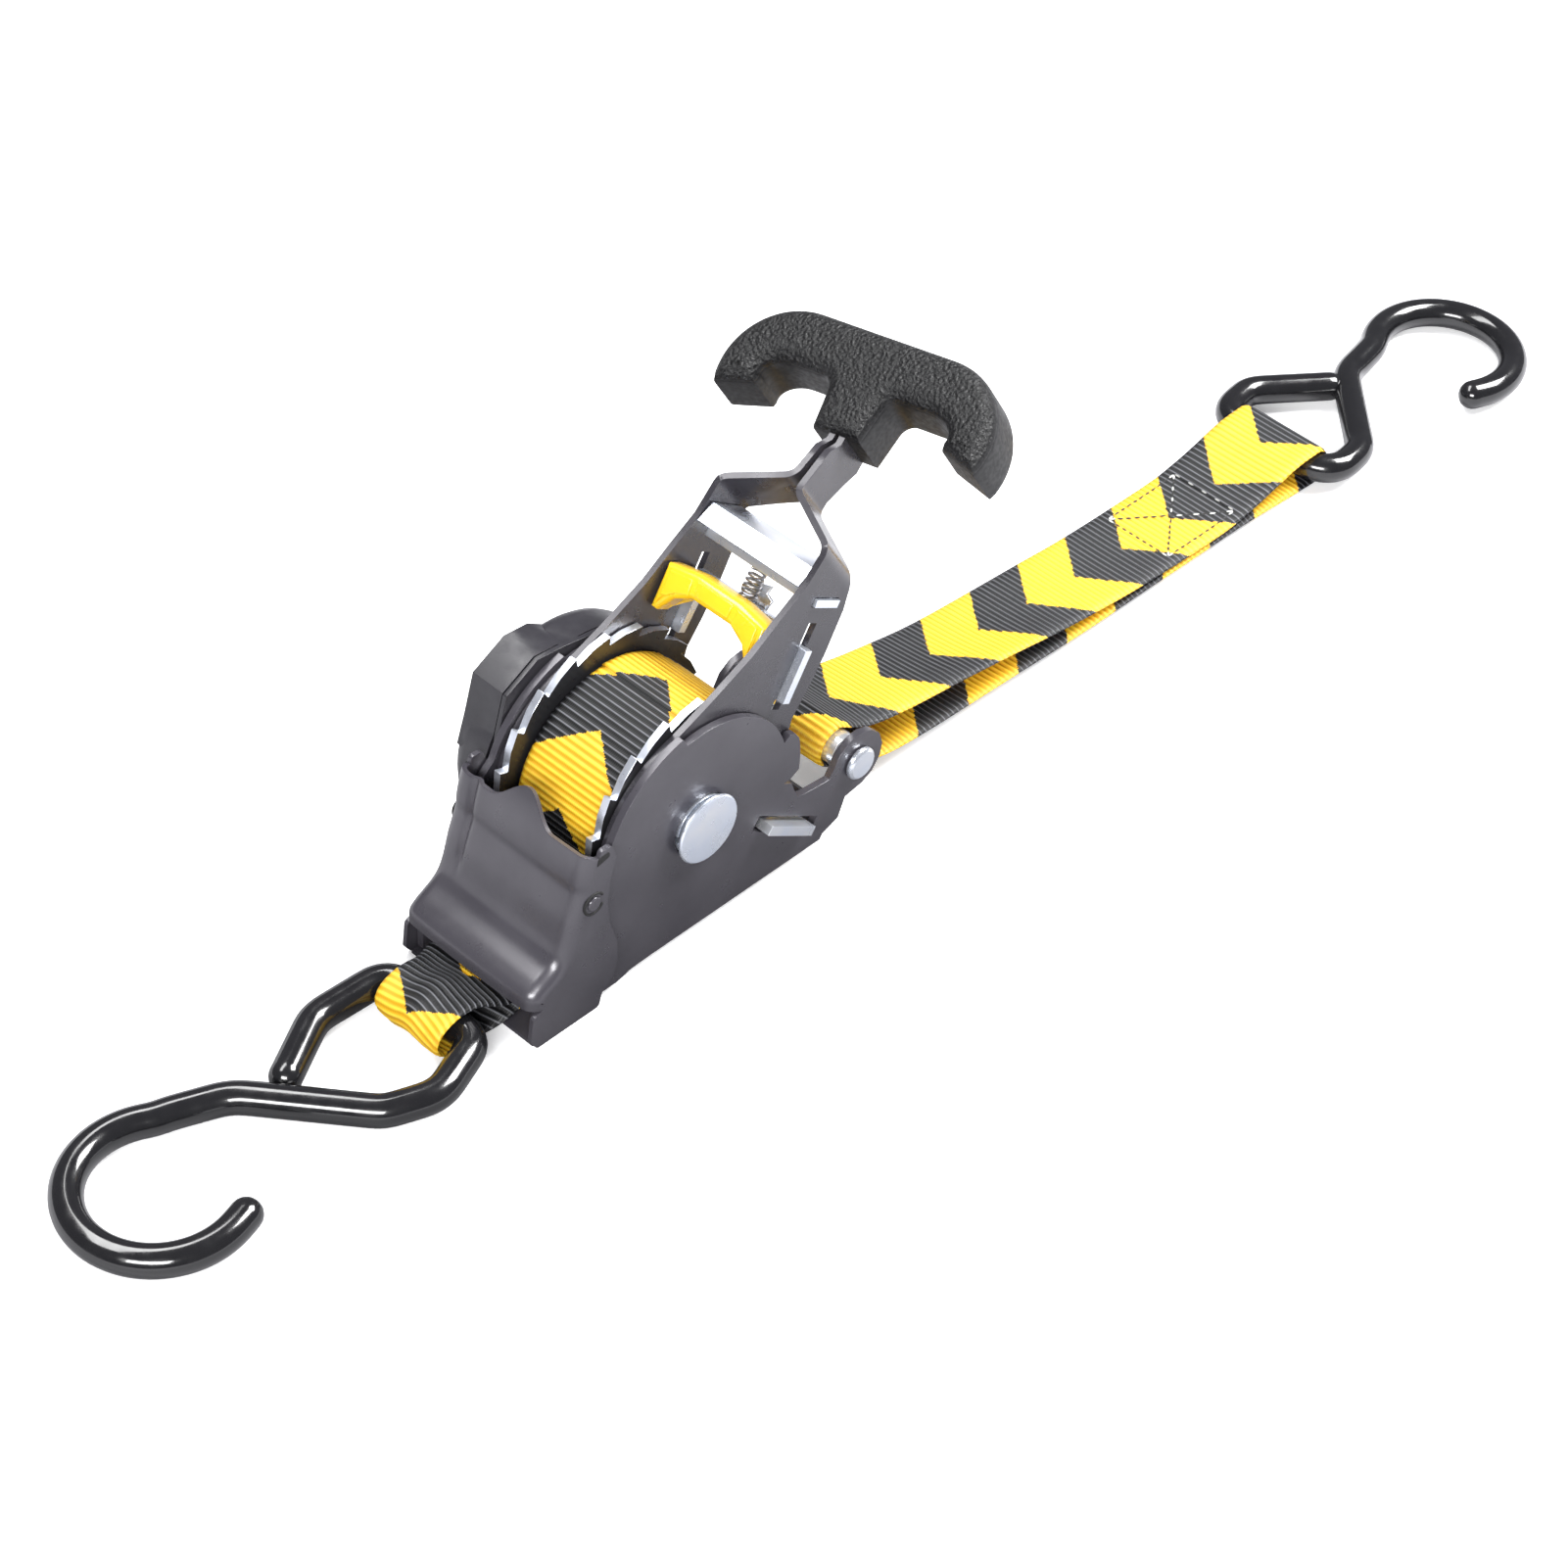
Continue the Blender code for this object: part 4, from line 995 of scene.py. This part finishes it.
def make_nose():
    """The pressed cover: a hood with folds and a lobed edge, rounded into its two flanges."""
    folds = arc(0, 0, 36.4, 149, 176, 6) + [(-38.4, -3.5), (-40.4, -10.6), (-42.6, -14.2),
                                           (-47.4, -17.2), (-49.7, -19.2), (-50.1, -22.0)]
    line = smooth_path(folds, 0.35)
    tangent = np.gradient(line, axis=0)
    tangent /= np.linalg.norm(tangent, axis=1)[:, None]
    normal = np.stack([tangent[:, 1], -tangent[:, 0]], axis=1)
    s = np.r_[0, np.cumsum(np.linalg.norm(np.diff(line, axis=0), axis=1))]
    corner = [(NOSE_Y - NOSE_ROUND + NOSE_ROUND * math.cos(a), NOSE_ROUND * (math.sin(a) - 1))
              for a in np.radians(np.linspace(0, 90, 9))]
    middle = [(y, 0.0) for y in np.linspace(NOSE_Y - NOSE_ROUND, NOSE_ROUND - NOSE_Y, 61)[1:-1]]
    section = corner + middle + [(-y, n) for y, n in corner[::-1]]
    rows = 72
    vertices = []
    for y, inward in section:
        top = float(np.interp(-lobe_height(y), -line[:, 1], s))
        for i in range(rows + 1):
            at = top + (s[-1] - top) * i / rows
            x, z = np.interp(at, s, line[:, 0]), np.interp(at, s, line[:, 1])
            nx, nz = np.interp(at, s, normal[:, 0]), np.interp(at, s, normal[:, 1])
            out = inward + 0.5 * (1 - (y / NOSE_Y) ** 2)
            press = 1 / (1 + math.exp((-8.5 - z) * 0.9))
            out -= 1.1 * press * math.exp(-((y - 13.9) / 1.0) ** 2)
            vertices.append((AXLE.x + x + nx * out, y, AXLE.z + z + nz * out))
    faces = []
    for c in range(len(section) - 1):
        for i in range(rows):
            a = c * (rows + 1) + i
            faces.append((a, a + 1, a + rows + 2, a + rows + 1))
    hood = new_object("nose_cover_pressing", vertices, faces, GREY, 180)
    edge = [(v[0] - AXLE.x, v[2] - AXLE.z) for v in vertices[:rows + 1]]
    rear = bent([(*edge[-1], 0), (-50.2, -23.4, 1.2), (-50.9, -30.4, 1.5), (-49.0, -32.9, 1.4),
                 (-31.0, -32.9, 1.2), (-30.2, -29.4, 1.5), (-27.0, -26.6, 2.0), (-25.6, -22.5, 2.0),
                 (-25.8, -16.5, 3.0), (-28.2, -9.5, 4.0), (-28.9, -2.5, 4.0), (-28.2, 3.6, 3.0),
                 (-26.6, 9.0, 1.2), (-28.0, 13.0, 1.2), (-31.0, 13.2, 1.0), (*edge[0], 0)], 6)
    outline = edge + rear[1:-1]
    bm = bmesh.new()
    bm.from_mesh(hood.data)
    for side in (1, -1):
        flange = filled(f"flange_{side}", [outline], GREY)
        for vertex in flange.data.vertices:
            vertex.co = Vector((AXLE.x + vertex.co.x, side * NOSE_Y, AXLE.z + vertex.co.y)) * MM
        bm.from_mesh(flange.data)
        bpy.data.objects.remove(flange, do_unlink=True)
    bmesh.ops.remove_doubles(bm, verts=bm.verts, dist=0.02 * MM)
    bmesh.ops.recalc_face_normals(bm, faces=bm.faces)
    bm.to_mesh(hood.data)
    bm.free()
    hood = pressed(hood, NOSE_SHEET, 0.35, even=False)
    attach(hood, "frame")
    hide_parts("nose_cover")
    strip = side_slab("nose_floor_strip", [[(-49.4, -32.9), (-49.4, -31.9), (-31.3, -31.9),
                                            (-31.3, -32.9)]], 38.6, 0.3, 0.0, GREY)
    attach(strip, "frame")
    for side, name in ((-1, "near"), (1, "far")):
        y = side * (NOSE_Y + NOSE_SHEET / 2)
        ring = [(AXLE.x - 33.0 + x, y, AXLE.z - 0.6 + z) for x, z in arc(0, 0, 2.7, 30, 330, 30)]
        lance = tube(f"nose_lance_{name}", ring, 0.32, SHADOW, 10)
        slot = side_slab(f"nose_tab_slot_{name}",
                         [bent([(-32.2, 9.6, 0), (-31.8, 11.6, 0.5), (-28.8, 11.9, 0.5),
                                (-28.6, 10.4, 0.5), (-32.2, 9.6, 0)], 4)[:-1]], 0.3, 0.1, y, SHADOW)
        for piece in (lance, slot):
            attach(piece, "frame")


# ---------------------------------------------------------------- studio
def camera_only(tree, seen, bounced):
    """A colour that the camera sees, and another, given or made by a socket, that bounces."""
    rays = tree.nodes.new("ShaderNodeLightPath")
    mix = tree.nodes.new("ShaderNodeMix")
    mix.data_type = "RGBA"
    tree.links.new(rays.outputs["Is Camera Ray"], mix.inputs[0])
    if isinstance(bounced, bpy.types.NodeSocket):
        tree.links.new(bounced, mix.inputs[6])
    else:
        mix.inputs[6].default_value = (*bounced, 1.0)
    mix.inputs[7].default_value = (*seen, 1.0)
    return mix.outputs[2]


def make_studio():
    size = 6.0
    mesh = bpy.data.meshes.new("floor")
    mesh.from_pydata([(-size, -size, 0), (size, -size, 0), (size, size, 0), (-size, size, 0)], [],
                     [(0, 1, 2, 3)])
    s = Shader("studio_floor", (0.93, 0.93, 0.935), 0.75)
    s.set("Roughness", s.spread(s.noise(8, 2), 0.7, 0.8))
    stretched = s.node("ShaderNodeVectorMath", operation="MULTIPLY")
    s.feed(stretched.inputs[0], s.coordinates())
    stretched.inputs[1].default_value = (0.55, 1.0, 0.0)
    away = s.node("ShaderNodeVectorMath", operation="LENGTH")
    s.feed(away.inputs[0], stretched.outputs[0])
    # What the objects see of the floor is painted: dark near the object and pale further off, painted
    # shade in their reflections and bounce light. The camera sees the floor white, glowing more
    # further off.
    bounce = s.blend(s.spread(away.outputs["Value"], 0.0, 1.0, 0.025, 0.11),
                     (0.06, 0.06, 0.065), (0.52, 0.52, 0.54))
    s.set("Base Color", camera_only(s.tree, (0.95, 0.95, 0.955), bounce))
    s.set("Emission Color", camera_only(s.tree, (1.0, 1.0, 1.0), (0.0, 0.0, 0.0)))
    s.set("Emission Strength", s.spread(away.outputs["Value"], 0.30, 1.0, 0.35, 1.6))
    mesh.materials.append(s.mat)
    floor = bpy.data.objects.new("floor", mesh)
    bpy.context.scene.collection.objects.link(floor)

    world = bpy.data.worlds.new("studio")
    bpy.context.scene.world = world
    world.use_nodes = True
    background = world.node_tree.nodes["Background"]
    world.node_tree.links.new(camera_only(world.node_tree, (0.97, 0.98, 1.0),
                                          (0.19, 0.19, 0.21)), background.inputs[0])
    background.inputs[1].default_value = 1.0

    aim = Vector((0.06, 0.0, 0.03))
    for name, place, width, height, power in (
            ("key", (0.80, -0.30, 0.95), 0.55, 0.55, 30.0),
            ("fill", (-0.95, -0.62, 0.75), 0.8, 0.35, 22.0),
            ("top", (-0.10, 0.55, 1.2), 1.1, 0.35, 14.0)):
        light = bpy.data.lights.new(name, "AREA")
        light.shape = "RECTANGLE"
        light.size, light.size_y, light.energy = width, height, power
        lamp = bpy.data.objects.new(name, light)
        bpy.context.scene.collection.objects.link(lamp)
        lamp.location = place
        lamp.rotation_euler = (aim - Vector(place)).to_track_quat("-Z", "Y").to_euler()


def make_camera():
    azimuth, elevation, roll = math.radians(-48.0), math.radians(43.0), math.radians(3.39)
    right = Vector((math.cos(azimuth), math.sin(azimuth), 0))
    up = Vector((-math.sin(azimuth) * math.sin(elevation),
                 math.cos(azimuth) * math.sin(elevation), math.cos(elevation)))
    back = right.cross(up)
    turned_right = right * math.cos(roll) + up * math.sin(roll)
    turned_up = up * math.cos(roll) - right * math.sin(roll)
    data = bpy.data.cameras.new("camera")
    data.sensor_width = 36.0
    data.lens = 93.48
    data.clip_start = 0.01
    camera = bpy.data.objects.new("camera", data)
    bpy.context.scene.collection.objects.link(camera)
    turn = Matrix((turned_right, turned_up, back)).transposed().to_4x4()
    camera.matrix_world = Matrix.Translation((-0.45567, -0.45221, 0.63218)) @ turn
    bpy.context.scene.camera = camera
    bpy.context.scene.view_settings.view_transform = "Standard"


make_rear_strap()
make_stitching()
make_coil()
make_lead()
make_hooks()
make_arm("near", [(-45, -16.05, 0), (60.4, -16.05, 3.5), (67.6, -0.2, 3.5), (97.5, 5.7, 0)])
make_arm("far", [(-45, 16.05, 0), (60.9, 16.05, 3.5), (70.2, 3.4, 3.5), (97.5, 7.7, 0)])
make_grip()
coil_spring("handle_pawl_coil", 1.7, (44.7, 50.9), PAWL_DEG, -10.4, "handle",
            "handle_pawl_slide")
coil_spring("base_pawl_coil", 2.0, (41.3, 47.4), BASE_PAWL_DEG, -0.5, "frame",
            "base_pawl_slide")
make_trigger()
make_nose()
make_studio()
make_camera()
